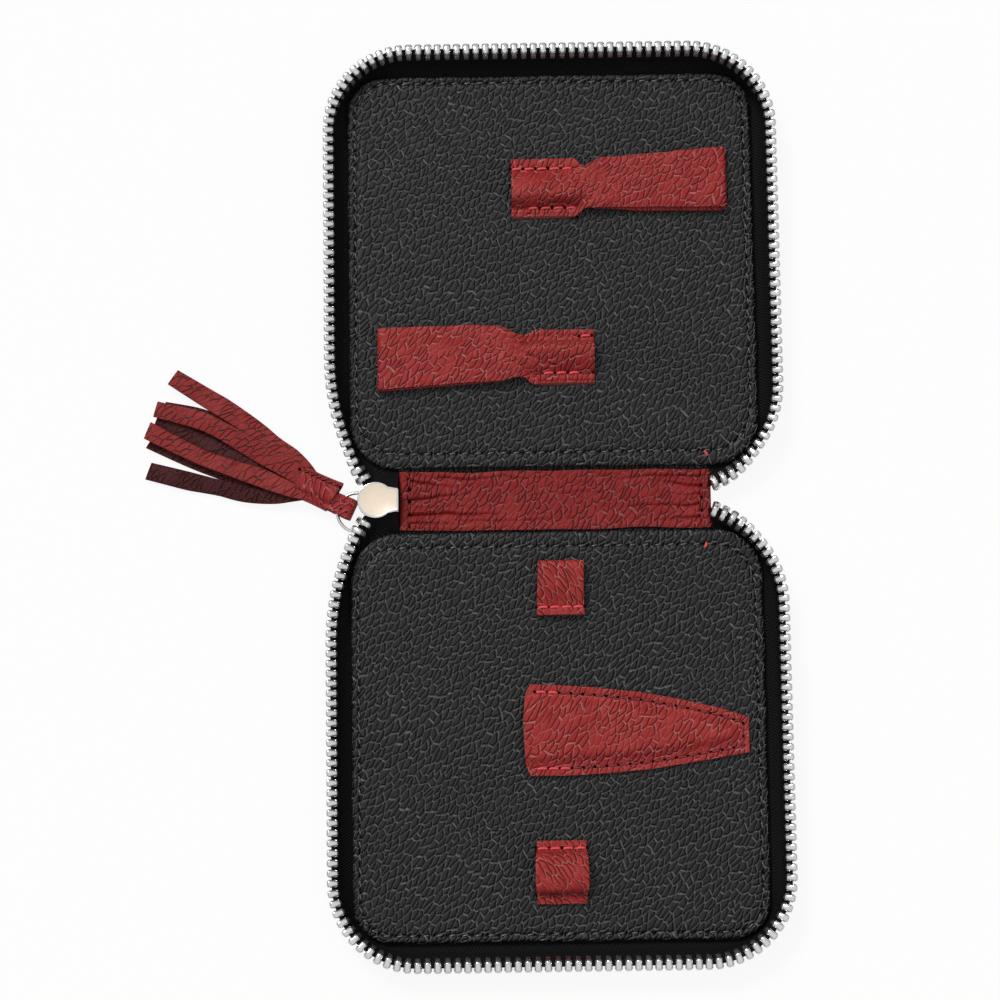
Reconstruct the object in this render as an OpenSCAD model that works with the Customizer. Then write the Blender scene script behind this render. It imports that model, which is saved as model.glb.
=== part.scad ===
// Zip case for a manicure set, lying open and flat.
// The origin is in the middle of the spine's outer face, X runs along the spine,
// the lower half lies at -Y and the upper half at +Y, and Z points up.

/* [Halves] */
// Width of a lining panel, along the spine
panel_w = 106; // [98:1:114]
// Length of a lining panel, away from the spine
panel_l = 104.5; // [103:0.5:116]
// How far beyond the spine's end the panel's corner begins to turn
near_in = 1; // [0.5:0.25:1.5]
// Radius of the panel's corners at the far edge
far_r = 8; // [6:0.5:10]
// Thickness of the outer leather
cover_t = 1.1; // [0.9:0.1:1.3]
// Thickness of the stiff board
board_t = 1.4; // [1.2:0.1:2]
// Thickness of the lining leather
lining_t = 1.1; // [0.8:0.1:1.4]
// Width of the border where lining, tape and cover are sewn together
seam_w = 5; // [4:0.5:6.5]
// Distance of the stitches from the panel's edge
stitch_in = 2; // [1.5:0.25:3]
// Width of a sewing thread
thread_w = 0.5; // [0.3:0.1:0.7]
// How far a thread stands out of the leather
thread_h = 0.25; // [0.15:0.05:0.35]
// Length of one stitch
stitch_l = 2.4; // [1.8:0.1:2.8]
// Distance from one stitch to the next
stitch_pitch = 3.3; // [3:0.1:4]

/* [Spine] */
// Distance between the two fold lines
spine_w = 16; // [14:0.5:20]
// Length of the spine's leather, along X
spine_l = 80; // [74:1:86]
// Thickness of the spine's stiffener
stiffener_t = 0.3; // [0.2:0.1:0.5]
// Thickness of the red spine lining
spine_lining_t = 0.6; // [0.4:0.1:0.8]
// Width of the hem at each end of the spine lining
hem_w = 2.5; // [2:0.25:3.5]
// Gap between pieces that fold against each other
fold_gap = 0.3; // [0.25:0.05:0.4]

/* [Zip] */
// Thickness of the woven tape
tape_t = 0.6; // [0.5:0.05:0.7]
// How far the tape leans out at the sides
side_lean = 4.5; // [4:0.25:5.5]
// How far the tape leans out at the far edge
far_lean = 5.3; // [4.5:0.25:6.5]
// Radius of the tooth row at the far corners
far_turn = 21; // [17:0.5:21]
// Length over which the tooth row turns in from the side to the slider
slider_run = 32.6; // [31:0.2:33]
// Length over which the tooth row turns in from the side to the stop
stop_run = 24.3; // [23.5:0.1:24.5]
// Distance from one tooth to the next
tooth_pitch = 2.5; // [2.3:0.05:2.8]
// Width of a tooth along the tape
tooth_w = 1.25; // [1.1:0.05:1.4]
// Thickness of a tooth across the tape
tooth_t = 2.4; // [2.2:0.1:2.6]
// Length of a tooth's legs on the tape
tooth_leg = 2.2; // [1.9:0.1:2.4]
// Length of a tooth's head beyond the tape
tooth_head = 1.9; // [1.6:0.1:2.2]
// Gap from the teeth of one half to the other when the case is shut
mesh_gap = 0.4; // [0.3:0.1:1]

/* [Slider] */
// Width of the slider's plates at the head
slider_head_w = 9.4; // [9:0.1:10]
// Width of the slider's plates at the tail
slider_tail_w = 6.2; // [5.8:0.1:6.6]
// Length of the slider
slider_l = 10.6; // [10.4:0.1:11.6]
// Thickness of one slider plate
slider_plate_t = 0.7; // [0.6:0.05:0.8]
// Height of the channel between the plates
slider_channel = 2.2; // [2.1:0.1:2.4]
// Diameter of the pull ring's wire
ring_wire = 0.9; // [0.8:0.05:1]
// Outer diameter of the pull ring
ring_d = 11; // [10:0.25:12]

/* [Tassel] */
// Direction of the tassel, counter-clockwise from +X
tassel_turn = 155; // [150:1:160]
// Width of the loop that holds the ring
tassel_loop_w = 5.2; // [4.5:0.1:5.6]
// Thickness of the tassel's leather
tassel_t = 0.8; // [0.6:0.05:0.9]
// Length of the sewn collar
collar_l = 10.5; // [9:0.5:12]
// Width of the sewn collar
collar_w = 8.2; // [7.6:0.1:9]
// Length of the fringe beyond the collar
fringe_l = 41; // [36:1:48]
// Width of one strip of the fringe
strip_w = 5.4; // [4.4:0.1:6]

/* [Clipper straps] */
// Width of a strap's sewn base
strap_w = 15.4; // [14.4:0.2:16]
// Length of a strap's sewn base
strap_base_l = 18.5; // [16:0.5:21]
// Thickness of the holders' leather
holder_t = 1.1; // [0.9:0.05:1.3]
// Height of the arch between the two seams of a base
strap_rise = 3.6; // [3:0.1:4.2]
// Distance of the holders' stitches from their edge
holder_stitch_in = 2.5; // [2.2:0.1:3]
// Length of the free flap
flap_l = 37.5; // [32:0.5:38.5]
// Width of the flap where it leaves the base
flap_neck_w = 11; // [10:0.25:12.5]
// Width of the flap at its end
flap_w = 15.6; // [14:0.2:17]
// Thickness of the folded flap
flap_t = 2.4; // [2:0.1:3]
// Where the right strap's base starts, along X
right_strap_x = -10.1; // [-12:0.1:-9]
// Middle of the right strap, measured from the spine's middle
right_strap_y = 81.9; // [79:0.1:84]
// Where the left strap's base starts, along X
left_strap_x = 10.7; // [9:0.1:12]
// Middle of the left strap, measured from the spine's middle
left_strap_y = 37.3; // [34:0.1:40]

/* [Lower holders] */
// Width of the file loop, along X
file_loop_w = 12.4; // [11:0.1:14]
// Length of the file loop, along Y
file_loop_l = 14.1; // [12.5:0.1:16]
// Height of the folded file loop
file_loop_h = 3.4; // [3:0.1:4]
// Middle of the file loop, along X
file_loop_x = 0.8; // [-1:0.1:4]
// Near edge of the file loop, measured from the spine's middle
file_loop_y = 16.1; // [14.5:0.1:18]
// Length of the scissors pocket, along X
pocket_l = 57.4; // [54:0.1:58.5]
// Width of the pocket near its mouth
pocket_w = 23.2; // [22:0.1:25]
// Width of the pocket at its narrow end
pocket_end_w = 9.4; // [8.4:0.1:11]
// Height inside the pocket
pocket_h = 1.4; // [1.2:0.1:1.8]
// Mouth of the pocket, along X
pocket_x = -9; // [-10:0.1:-8]
// Middle of the pocket, measured from the spine's middle
pocket_y = 59.5; // [58.5:0.1:61]
// Width of the pusher loop, along X
pusher_w = 13.2; // [12:0.1:15]
// Length of the pusher loop, along Y
pusher_l = 16; // [15.2:0.1:17]
// Height of the arch in the pusher loop
pusher_rise = 4.6; // [4:0.1:5]
// Middle of the pusher loop, along X
pusher_x = 0.1; // [-2:0.1:3]
// Near edge of the pusher loop, measured from the spine's middle
pusher_y = 87.4; // [86.4:0.1:89]

/* [Hidden] */

$fn = 96;
black_leather = [0.15, 0.15, 0.155];
red_leather = [0.5, 0.14, 0.14];
tape_black = [0.05, 0.05, 0.055];
zip_metal = [0.78, 0.78, 0.8];
plate_metal = [0.9, 0.84, 0.76];

// Heights of the stack
panel_top = cover_t + board_t + lining_t;
tape_mid = cover_t + tape_t / 2;
fold_z = cover_t + stiffener_t + spine_lining_t;
shut_t = spine_w + 2 * fold_z;

// Plan of a half, with distances from the spine's middle
half_w = panel_w / 2;
near_y = spine_w / 2 + fold_gap;
far_y = near_y + panel_l;
mid_y = (near_y + far_y) / 2;
// Radius of the panel's corners beside the spine
near_r = half_w - spine_l / 2 - near_in;

// Tilt of the tape's edge from the horizontal
side_tilt = 75;
far_tilt = 50;
end_tilt = 20;
slider_steepen = 3.75;
stop_steepen = 2.2;
// How soon the edge is at its full height behind the slider and before the stop
slider_rise = 1.5;
stop_rise = 1.4;

// Tooth row: its plan and the height of the tape's edge
row_x = half_w + side_lean;
row_y = far_y + far_lean;
row_end_y = 4.3;
// The row ends inside the slider's head, and just beyond the spine's other end
row_in_slider = 2.2;
row_off_stop = 0.5;
// How far the row turns in from the side at the slider and at the stop
slider_in = row_x - (spine_l / 2 + fold_gap + slider_l - row_in_slider);
stop_in = row_x - (spine_l / 2 + fold_gap + row_off_stop);
slider_turn = (slider_in * slider_in + slider_run * slider_run) / (2 * slider_in);
stop_turn = (stop_in * stop_in + stop_run * stop_run) / (2 * stop_in);
slider_arc = asin(slider_run / slider_turn);
stop_arc = asin(stop_run / stop_turn);
slider_turn_y = row_end_y + slider_run;
stop_turn_y = row_end_y + stop_run;
edge_z = (shut_t - mesh_gap) / 2 - tooth_head * sin(side_tilt) - tooth_t / 2 * cos(side_tilt);
stop_end_z = panel_top + 1.1;
// Share of each rear corner that stays limp
limp_y = 13;
slider_limp = 1 - asin((slider_turn_y - limp_y) / slider_turn) / slider_arc;
stop_limp = 1 - asin((stop_turn_y - limp_y) / stop_turn) / stop_arc;

// Slider, ring and tassel
slider_x = -(spine_l / 2 + fold_gap);
head_r = slider_head_w / 2;
head_x = slider_x - slider_l + head_r;
bail_t = 0.6;
bail_open = ring_wire + 0.8;
bail_back = 0.7;
ring_r = (ring_d - ring_wire) / 2;
// The tassel's loop clears the ring's curve at any angle, and rests on the ground
ring_sag = ring_r - sqrt(ring_r * ring_r - tassel_loop_w * tassel_loop_w / 4);
ring_z = tassel_t + ring_wire / 2 + ring_sag + 0.06;
plate_z = ring_z + bail_open / 2;
channel_z = plate_z + slider_plate_t;
slider_top = channel_z + slider_channel + slider_plate_t;
chain_z = channel_z + slider_channel / 2;
ring_turn = 31;
ring_x = head_x - bail_back - ring_r * cos(ring_turn);
ring_y = -ring_r * sin(ring_turn);
hang_x = ring_x + ring_r * cos(tassel_turn);
hang_y = ring_y + ring_r * sin(tassel_turn);
loop_h = 2 * ring_z;
loop_in = 2.4;
collar_start = 1.6;
collar_h = 4.6;

// Holders
flap_gap = 0.3;
flap_z = panel_top + flap_gap;
pocket_rim = 3;

function unit(a) = [cos(a), sin(a)];
function along(a) = [-sin(a), cos(a)];
function mix(a, b, f) = a * (1 - f) + b * f;
function ease(f) = f * f * (3 - 2 * f);
function norm_of(v) = v / norm(v);

// Plan point and outward angle at fraction f of an arc
function turn(c, r, p0, p1, f) = let (p = mix(p0, p1, f), q = c + r * unit(p)) [q.x, q.y, p];

// The point of the panel's edge nearest to a plan point, and the outward angle there
function clamp(v, low, high) = max(low, min(high, v));
function edge_near(q) =
    let (r = q.y > -mid_y ? near_r : far_r,
        c = [clamp(q.x, r - half_w, half_w - r), clamp(q.y, r - far_y, -near_y - r)],
        v = [q.x, q.y] - c, e = c + r * norm_of(v))
    [e.x, e.y, atan2(v.y, v.x)];

// The tooth row at corner i of the four, from the slider round to the stop, at fraction f:
// x, y, z, outward angle, tilt
function row_at(i, f) =
    i == 0 ? let (q = turn([slider_turn - row_x, -slider_turn_y], slider_turn,
            180 - slider_arc, 180, f))
        [q.x, q.y, mix(chain_z, edge_z, ease(min(1, f * slider_rise))), q.z,
            mix(end_tilt, side_tilt, ease(min(1, f * slider_steepen)))]
    : i == 1 ? let (q = turn([far_turn - row_x, far_turn - row_y], far_turn, 180, 270, f))
        [q.x, q.y, edge_z, q.z, mix(side_tilt, far_tilt, ease(f))]
    : i == 2 ? let (q = turn([row_x - far_turn, far_turn - row_y], far_turn, 270, 360, f))
        [q.x, q.y, edge_z, q.z, mix(far_tilt, side_tilt, ease(f))]
    : let (q = turn([row_x - stop_turn, -stop_turn_y], stop_turn, 360, 360 + stop_arc, f))
        [q.x, q.y, mix(edge_z, stop_end_z, ease(max(0, 1 - (1 - f) * stop_rise))), q.z,
            mix(side_tilt, end_tilt, ease(max(0, 1 - (1 - f) * stop_steepen)))];

// Unit vectors at a point of the row: across the tape's edge and out of the tape's face
function edge_dir(q) = [cos(q[4]) * cos(q[3]), cos(q[4]) * sin(q[3]), sin(q[4])];
function row_dir(q) = [-sin(q[3]), cos(q[3]), 0];
function bezier(a, b, c, f) = mix(mix(a, b, f), mix(b, c, f), f);
function pair(p, n) = [p + n * tape_t / 2, p - n * tape_t / 2];

// The tape's section at corner i: pairs of points on its outer and inner face
wall_foot = 0.5;
wall_bow = 0.7;
wall_rise = 0.1;
wall_steps = 3;
function section(i, f) =
    let (q = row_at(i, f), e = edge_near(q), d = edge_dir(q), t = row_dir(q),
        out = [cos(e.z), sin(e.z), 0],
        seam = [e.x, e.y, tape_mid],
        inner = seam - seam_w * out,
        foot = seam + wall_foot * out,
        edge = [q.x, q.y, q.z],
        crimp = edge - (tooth_leg + 0.1) * d,
        low = [mix(foot.x, crimp.x, wall_bow), mix(foot.y, crimp.y, wall_bow),
            mix(foot.z, crimp.z, wall_rise)])
    concat([pair(inner, [0, 0, -1]), pair(seam, [0, 0, -1]), pair(foot, [0, 0, -1])],
        [for (k = [1 : wall_steps]) let (g = k / wall_steps, p = bezier(foot, low, crimp, g),
            u = mix(norm_of(low - foot), norm_of(crimp - low), g))
            pair(p, norm_of(cross(t, u)))],
        [pair(edge, cross(t, d))]);

// A strip of tape through a list of sections
module tape_strip(sections) {
    m = len(sections[0]);
    count = len(sections);
    points = [for (s = sections, p = s, q = p) q];
    function at(k, j, side) = (k * m + j) * 2 + side;
    function quad(a, b, c, d) = [[a, b, c], [a, c, d]];
    rows = [for (k = [0 : count - 2]) each concat(
        [for (j = [0 : m - 2]) each concat(
            quad(at(k, j, 0), at(k, j + 1, 0), at(k + 1, j + 1, 0), at(k + 1, j, 0)),
            quad(at(k, j, 1), at(k + 1, j, 1), at(k + 1, j + 1, 1), at(k, j + 1, 1)))],
        quad(at(k, 0, 0), at(k + 1, 0, 0), at(k + 1, 0, 1), at(k, 0, 1)),
        quad(at(k, m - 1, 0), at(k, m - 1, 1), at(k + 1, m - 1, 1), at(k + 1, m - 1, 0)))];
    ends = [for (j = [0 : m - 2]) each concat(
        quad(at(0, j, 0), at(0, j, 1), at(0, j + 1, 1), at(0, j + 1, 0)),
        quad(at(count - 1, j, 0), at(count - 1, j + 1, 0),
            at(count - 1, j + 1, 1), at(count - 1, j, 1)))];
    polyhedron(points, concat(rows, ends));
}

turn_steps = 10;
function corner_sections(i, f0, f1) =
    [for (k = [0 : turn_steps]) section(i, mix(f0, f1, k / turn_steps))];

module half_tape() {
    color(tape_black) tape_strip(concat(corner_sections(0, slider_limp, 1),
        corner_sections(1, 0, 1), corner_sections(2, 0, 1), corner_sections(3, 0, 1 - stop_limp)));
}

module half_tape_ends() {
    color(tape_black) {
        tape_strip(corner_sections(0, 0, slider_limp));
        tape_strip(corner_sections(3, 1 - stop_limp, 1));
    }
}

// Lengths along the tooth row
arc_lengths = [slider_turn * slider_arc, far_turn * 90, far_turn * 90, stop_turn * stop_arc]
    * PI / 180;
function plan_gap(a, b) = norm([a.x - b.x, a.y - b.y]);
side_a = plan_gap(row_at(0, 1), row_at(1, 0));
side_b = plan_gap(row_at(1, 1), row_at(2, 0));
side_c = plan_gap(row_at(2, 1), row_at(3, 0));
row_parts = [arc_lengths[0], side_a, arc_lengths[1], side_b, arc_lengths[2], side_c,
    arc_lengths[3]];
function sum_to(v, n) = n == 0 ? 0 : v[n - 1] + sum_to(v, n - 1);
row_l = sum_to(row_parts, 7);
function part_of(s, n = 0) = n == 6 || s < sum_to(row_parts, n + 1) ? n : part_of(s, n + 1);
function row_point(s) =
    let (n = part_of(s), f = (s - sum_to(row_parts, n)) / row_parts[n], i = floor(n / 2))
    n % 2 == 0 ? row_at(i, f) : mix(row_at(i, 1), row_at(i + 1, 0), f);

// Teeth sit at even steps and stay clear of the slider and of the row's end
first_tooth = 1.6;
last_tooth = row_l - 1;
slider_limp_l = slider_limp * arc_lengths[0];
stop_limp_l = stop_limp * arc_lengths[3];
tooth_count = floor((last_tooth - first_tooth) / tooth_pitch);

crimp_gap = 0.12;
module tooth() {
    t = tooth_t / 2;
    s = tape_t / 2 + crimp_gap;
    nose = 0.5;
    translate([0, 0, -tooth_w / 2]) linear_extrude(tooth_w)
        polygon([[-tooth_leg, -t], [tooth_head - nose, -t], [tooth_head, nose - t],
            [tooth_head, t - nose], [tooth_head - nose, t], [-tooth_leg, t],
            [-tooth_leg, s], [crimp_gap, s], [crimp_gap, -s], [-tooth_leg, -s]]);
}

module teeth(limp) {
    for (k = [0 : tooth_count]) {
        s = first_tooth + k * tooth_pitch;
        is_limp = s < slider_limp_l + tooth_w / 2 || s > row_l - stop_limp_l - tooth_w / 2;
        if (is_limp == limp) {
            q = row_point(s);
            d = edge_dir(q);
            t = row_dir(q);
            n = cross(t, d);
            multmatrix([[d.x, n.x, t.x, q.x], [d.y, n.y, t.y, q.y], [d.z, n.z, t.z, q.z],
                [0, 0, 0, 1]]) tooth();
        }
    }
}

// The outline of a half's panel, drawn in from its edge
module panel_plan(inset) {
    x = half_w - inset;
    r0 = max(near_r - inset, 0.8);
    r1 = max(far_r - inset, 0.8);
    translate([-x, r1 + inset - far_y]) square([2 * x, panel_l - 2 * inset - r0 - r1]);
    translate([r0 - x, -mid_y]) square([2 * (x - r0), mid_y - near_y - inset]);
    translate([r1 - x, inset - far_y]) square([2 * (x - r1), far_y - inset - mid_y]);
    for (side = [-1, 1]) {
        translate([side * (x - r0), -near_y - inset - r0]) circle(r0);
        translate([side * (x - r1), inset - far_y + r1]) circle(r1);
    }
}

// A layer of a half
module layer(inset, z, t) {
    translate([0, 0, z]) linear_extrude(t) panel_plan(inset);
}

module half_cover() {
    color(black_leather) layer(0, 0, cover_t);
}

board_gap = 0.2;
module half_board() {
    color([0.55, 0.5, 0.42]) layer(seam_w + board_gap, cover_t, board_t);
}

module half_lining() {
    color(black_leather) difference() {
        layer(0, cover_t + tape_t, panel_top - cover_t - tape_t);
        layer(seam_w + board_gap / 2, cover_t, board_t);
    }
}

module half_seam() {
    color(tape_black) difference() {
        layer(stitch_in - thread_w / 2, panel_top, thread_h);
        layer(stitch_in + thread_w / 2, panel_top - 1, thread_h + 2);
    }
}

module outer_cover_lower() { half_cover(); }
module board_lower() { half_board(); }
module lining_lower() { half_lining(); }
module lining_seam_lower() { half_seam(); }
module zip_tape_lower() { half_tape(); }
module zip_teeth_lower() { color(zip_metal) teeth(false); }
module tape_ends_lower() { half_tape_ends(); }
module teeth_ends_lower() { color(zip_metal) teeth(true); }

module outer_cover_upper() { mirror([0, 1, 0]) half_cover(); }
module board_upper() { mirror([0, 1, 0]) half_board(); }
module lining_upper() { mirror([0, 1, 0]) half_lining(); }
module lining_seam_upper() { mirror([0, 1, 0]) half_seam(); }
module zip_tape_upper() { mirror([0, 1, 0]) half_tape(); }
module zip_teeth_upper() { mirror([0, 1, 0]) color(zip_metal) teeth(false); }
module tape_ends_upper() { mirror([0, 1, 0]) half_tape_ends(); }
module teeth_ends_upper() { mirror([0, 1, 0]) color(zip_metal) teeth(true); }

// Even stitches along X from x = 0 to l, with the row's middle on y = 0
module stitch_row(l) {
    n = max(1, floor((l + stitch_pitch - stitch_l) / stitch_pitch));
    start = (l - (n - 1) * stitch_pitch - stitch_l) / 2;
    for (k = [0 : n - 1])
        translate([start + k * stitch_pitch, -thread_w / 2, 0]) cube([stitch_l, thread_w, thread_h]);
}

// A leather strip sewn down on both sides of an arch; the tunnel runs along X
module arch_strip(l, w, flange, rise) {
    span = w - 2 * flange;
    r = (span * span / 4 + rise * rise) / (2 * rise);
    rotate([90, 0, 90]) linear_extrude(l) {
        difference() {
            translate([0, rise - r]) circle(r);
            translate([0, rise - r]) circle(r - holder_t);
            translate([-r - 1, -2 * r - 1]) square([2 * r + 2, 2 * r + 1]);
        }
        for (side = [-1, 1])
            translate([side * (w / 2 - flange / 2 - 0.2), holder_t / 2])
                square([flange + 0.4, holder_t], center = true);
    }
}

// Folded tab, sewn at the edge away from the fold; the loop opens to left and right
module file_loop() {
    fold_r = file_loop_h / 2;
    inner_r = fold_r - holder_t;
    color(red_leather) translate([file_loop_x - file_loop_w / 2, -file_loop_y, panel_top])
        rotate([90, 0, 90]) linear_extrude(file_loop_w) difference() {
            union() {
                translate([-fold_r, fold_r]) circle(fold_r);
                translate([-file_loop_l + 2 * holder_stitch_in, 0])
                    square([file_loop_l - 2 * holder_stitch_in - fold_r, file_loop_h]);
                polygon([[-file_loop_l, 0], [-file_loop_l, 2 * holder_t],
                    [-file_loop_l + holder_stitch_in, 2 * holder_t],
                    [-file_loop_l + 2 * holder_stitch_in, file_loop_h],
                    [-file_loop_l + 2 * holder_stitch_in, 0]]);
            }
            translate([-fold_r, fold_r]) circle(inner_r);
            translate([-file_loop_l + 2 * holder_stitch_in, holder_t])
                square([file_loop_l - 2 * holder_stitch_in - fold_r, 2 * inner_r]);
        }
}

module file_loop_stitches() {
    color(red_leather)
        translate([file_loop_x - file_loop_w / 2, -file_loop_y - file_loop_l + holder_stitch_in / 2,
            panel_top + 2 * holder_t]) stitch_row(file_loop_w);
}

// Outline of the pocket, from its mouth round the narrow end, drawn in by d
pocket_full = 0.12;
pocket_waist = 0.55;
pocket_waist_w = 0.84;
pocket_end_y = -1.7;
function pocket_points(d) = let (w = pocket_w / 2, m = w * pocket_waist_w, e = pocket_end_w / 2) [
    [d, d - w], [pocket_l * pocket_full, d - w], [pocket_l * pocket_waist, d - m],
    [pocket_l - d, pocket_end_y - e + d], [pocket_l - d, pocket_end_y + e - d],
    [pocket_l * pocket_waist, m - d], [pocket_l * pocket_full, w - d], [d, w - d]];

module scissors_pocket() {
    color(red_leather) translate([pocket_x, -pocket_y, panel_top]) difference() {
        union() {
            linear_extrude(holder_t) polygon(pocket_points(0));
            translate([-pocket_rim, 0, 0]) linear_extrude(holder_t + pocket_h)
                intersection() {
                    polygon(pocket_points(pocket_rim));
                    translate([pocket_rim, -pocket_w]) square([pocket_l, 2 * pocket_w]);
                }
        }
        translate([-pocket_rim - 2, 0, -1]) linear_extrude(pocket_h + 1)
            polygon(pocket_points(pocket_rim + holder_t));
        translate([-2, pocket_rim + holder_t - pocket_w / 2, -1])
            cube([pocket_l * pocket_full, pocket_w - 2 * (pocket_rim + holder_t), pocket_h + 1]);
    }
}

module pocket_stitches() {
    p = pocket_points(holder_stitch_in / 2 + 0.3);
    color(red_leather) translate([pocket_x, -pocket_y, panel_top + holder_t])
        for (k = [0 : len(p) - 2]) {
            v = p[k + 1] - p[k];
            if (norm(v) > stitch_l + 1)
                translate([p[k].x, p[k].y, 0]) rotate(atan2(v.y, v.x))
                    translate([0.5, 0, 0]) stitch_row(norm(v) - 1);
        }
}

pusher_flange = 3.3;
module pusher_loop() {
    color(red_leather) translate([pusher_x - pusher_w / 2, -pusher_y - pusher_l / 2, panel_top])
        arch_strip(pusher_w, pusher_l, pusher_flange, pusher_rise);
}

module pusher_loop_stitches() {
    color(red_leather) for (side = [-1, 1])
        translate([pusher_x - pusher_w / 2,
            -pusher_y - pusher_l / 2 + side * (pusher_l / 2 - pusher_flange / 2), panel_top + holder_t])
            stitch_row(pusher_w);
}

// Spine: outer leather, stiffener and red lining between the two fold lines
spine_flat = spine_w - 2 * fold_gap;
module spine_layer(l, w, z, t) {
    translate([-l / 2, -w / 2, z]) cube([l, w, t]);
}
module spine_cover() { color(black_leather) spine_layer(spine_l, spine_flat, 0, cover_t); }
module spine_stiffener() {
    color([0.55, 0.5, 0.42]) spine_layer(spine_l, spine_flat, cover_t, stiffener_t);
}
module spine_lining() {
    color(red_leather) spine_layer(spine_l, spine_flat, cover_t + stiffener_t, spine_lining_t);
}
hem_h = 0.2;
hem_rest = 3;
module spine_lining_hems() {
    color(red_leather) for (side = [-1, 1])
        translate([side * (spine_l - hem_w) / 2 - hem_w / 2, -(spine_flat - hem_rest) / 2, fold_z])
            cube([hem_w, spine_flat - hem_rest, hem_h]);
}
module spine_stitches() {
    color(red_leather) for (side = [-1, 1])
        translate([side * (spine_l / 2 - hem_w - thread_w), -(spine_flat - hem_rest) / 2, fold_z])
            rotate(90) stitch_row(spine_flat - hem_rest);
}

// Tape end that rises from under the spine lining into the slider's tail
tuck_w = 5;
tuck_in = 3.4;
tuck_flat_l = 4.4;
module tape_tuck() {
    color(tape_black) {
        translate([slider_x - tuck_flat_l, -spine_flat / 2, cover_t])
            cube([tuck_flat_l + fold_gap, spine_flat, tape_t]);
        translate([slider_x, -tuck_w / 2, cover_t])
            cube([fold_gap, tuck_w, chain_z + tape_t / 2 - cover_t]);
        translate([slider_x - tuck_in, -tuck_w / 2, chain_z - tape_t / 2])
            cube([tuck_in, tuck_w, tape_t]);
    }
}

// Small metal clasp round the tape end, inside the slider's tail
stop_l = 1.6;
stop_w = 3.2;
stop_t = 0.5;
module bottom_stop() {
    color(zip_metal) for (side = [-1, 1])
        translate([slider_x - 1 - stop_l, -stop_w / 2,
            chain_z + side * (tape_t + stop_t) / 2 - stop_t / 2]) cube([stop_l, stop_w, stop_t]);
}

// Plan of a slider plate: round head to the left, straight tail to the right
module slider_plan() {
    translate([head_x, 0]) circle(head_r);
    translate([head_x, -slider_tail_w / 2]) square([slider_x - head_x, slider_tail_w]);
    polygon([[head_x, -head_r], [head_x, head_r], [head_x + head_r * 1.1, slider_tail_w / 2],
        [head_x + head_r * 1.1, -slider_tail_w / 2]]);
}

slider_wall = 0.5;
post_w = 2;
module slider_body() {
    color(plate_metal) {
        difference() {
            translate([0, 0, plate_z]) linear_extrude(slider_top - plate_z) slider_plan();
            // Channel for the two rows, open at the head and at the tail
            translate([head_x + head_r * 0.2, -slider_tail_w / 2 + slider_wall, channel_z])
                cube([slider_l, slider_tail_w - 2 * slider_wall, slider_channel]);
            translate([head_x - 2 * head_r, -head_r - 1, channel_z])
                cube([2 * head_r + head_r * 0.2 + 0.01, 2 * head_r + 2, slider_channel]);
        }
        translate([head_x - head_r * 0.55, 0, channel_z]) cylinder(h = slider_channel, d = post_w);
        // Bail under the outer plate, which the ring passes through
        translate([head_x - bail_back, 0, plate_z]) for (side = [-1, 1])
            translate([side * (bail_half + bail_t / 2) - bail_t / 2, -bail_w / 2, -bail_open])
                cube([bail_t, bail_w, bail_open]);
        translate([head_x - bail_back - bail_half - bail_t, -bail_w / 2,
            plate_z - bail_open - bail_t])
            cube([2 * bail_half + 2 * bail_t, bail_w, bail_t]);
    }
}
bail_half = 1.4;
bail_w = 1.4;

module pull_ring() {
    color(zip_metal) translate([ring_x, ring_y, ring_z]) rotate_extrude()
        translate([ring_r, 0]) circle(ring_wire / 2, $fn = 24);
}

// The tassel's own frame: U runs from the ring's wire to the fringe, at height 0
module on_tassel() {
    translate([hang_x, hang_y, 0]) rotate(tassel_turn) children();
}

module tassel_loop() {
    color(red_leather) on_tassel() rotate([90, 0, 0])
        translate([0, 0, -tassel_loop_w / 2]) linear_extrude(tassel_loop_w) difference() {
            union() {
                translate([-loop_in, loop_h / 2]) circle(loop_h / 2);
                translate([-loop_in, 0]) square([loop_in + collar_start, loop_h]);
            }
            translate([-loop_in, loop_h / 2]) circle(loop_h / 2 - tassel_t);
            translate([-loop_in, tassel_t]) square([loop_in + ring_wire + 0.1, loop_h - 2 * tassel_t]);
        }
}

module tassel_collar() {
    color(red_leather) on_tassel() difference() {
        translate([collar_start, -collar_w / 2, 0]) cube([collar_l, collar_w, collar_h]);
        translate([collar_start + 0.8, -collar_w / 2 + tassel_t, tassel_t])
            cube([collar_l, collar_w - 2 * tassel_t, collar_h - 2 * tassel_t]);
    }
}

// Strips that leave the collar: angle in the tassel's frame, share of the length, layer
strips = [[-15, 1, 2], [-4, 0.99, 3], [4, 0.98, 2], [10, 0.96, 1], [18, 0.95, 3],
    [-9, 0.94, 1], [13, 0.93, 2]];
strip_t = 0.9;
module tassel_fringe() {
    head_start = collar_start + 1;
    head_w = collar_w - 2 * tassel_t - 0.4;
    fan_x = collar_start + collar_l;
    color(red_leather) on_tassel() {
        translate([head_start, -head_w / 2, tassel_t + 0.1])
            cube([collar_l - 1, head_w, collar_h - 2 * tassel_t - 0.2]);
        for (s = strips)
            translate([fan_x, 0, tassel_t + 0.1 + (s[2] - 1) * strip_t])
                rotate(-s[0]) translate([0.3, -strip_w / 2, 0])
                    cube([fringe_l * s[1], strip_w, strip_t]);
        // Root where the strips are still one piece of leather
        translate([fan_x - 0.1, -head_w / 2, tassel_t + 0.1])
            cube([1.6, head_w, collar_h - 2 * tassel_t - 0.2]);
    }
}

module tassel_stitches() {
    color(red_leather) on_tassel() for (side = [-1, 1])
        translate([collar_start + 0.6, side * (collar_w / 2 - 1), collar_h])
            stitch_row(collar_l - 1.2);
}

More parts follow.
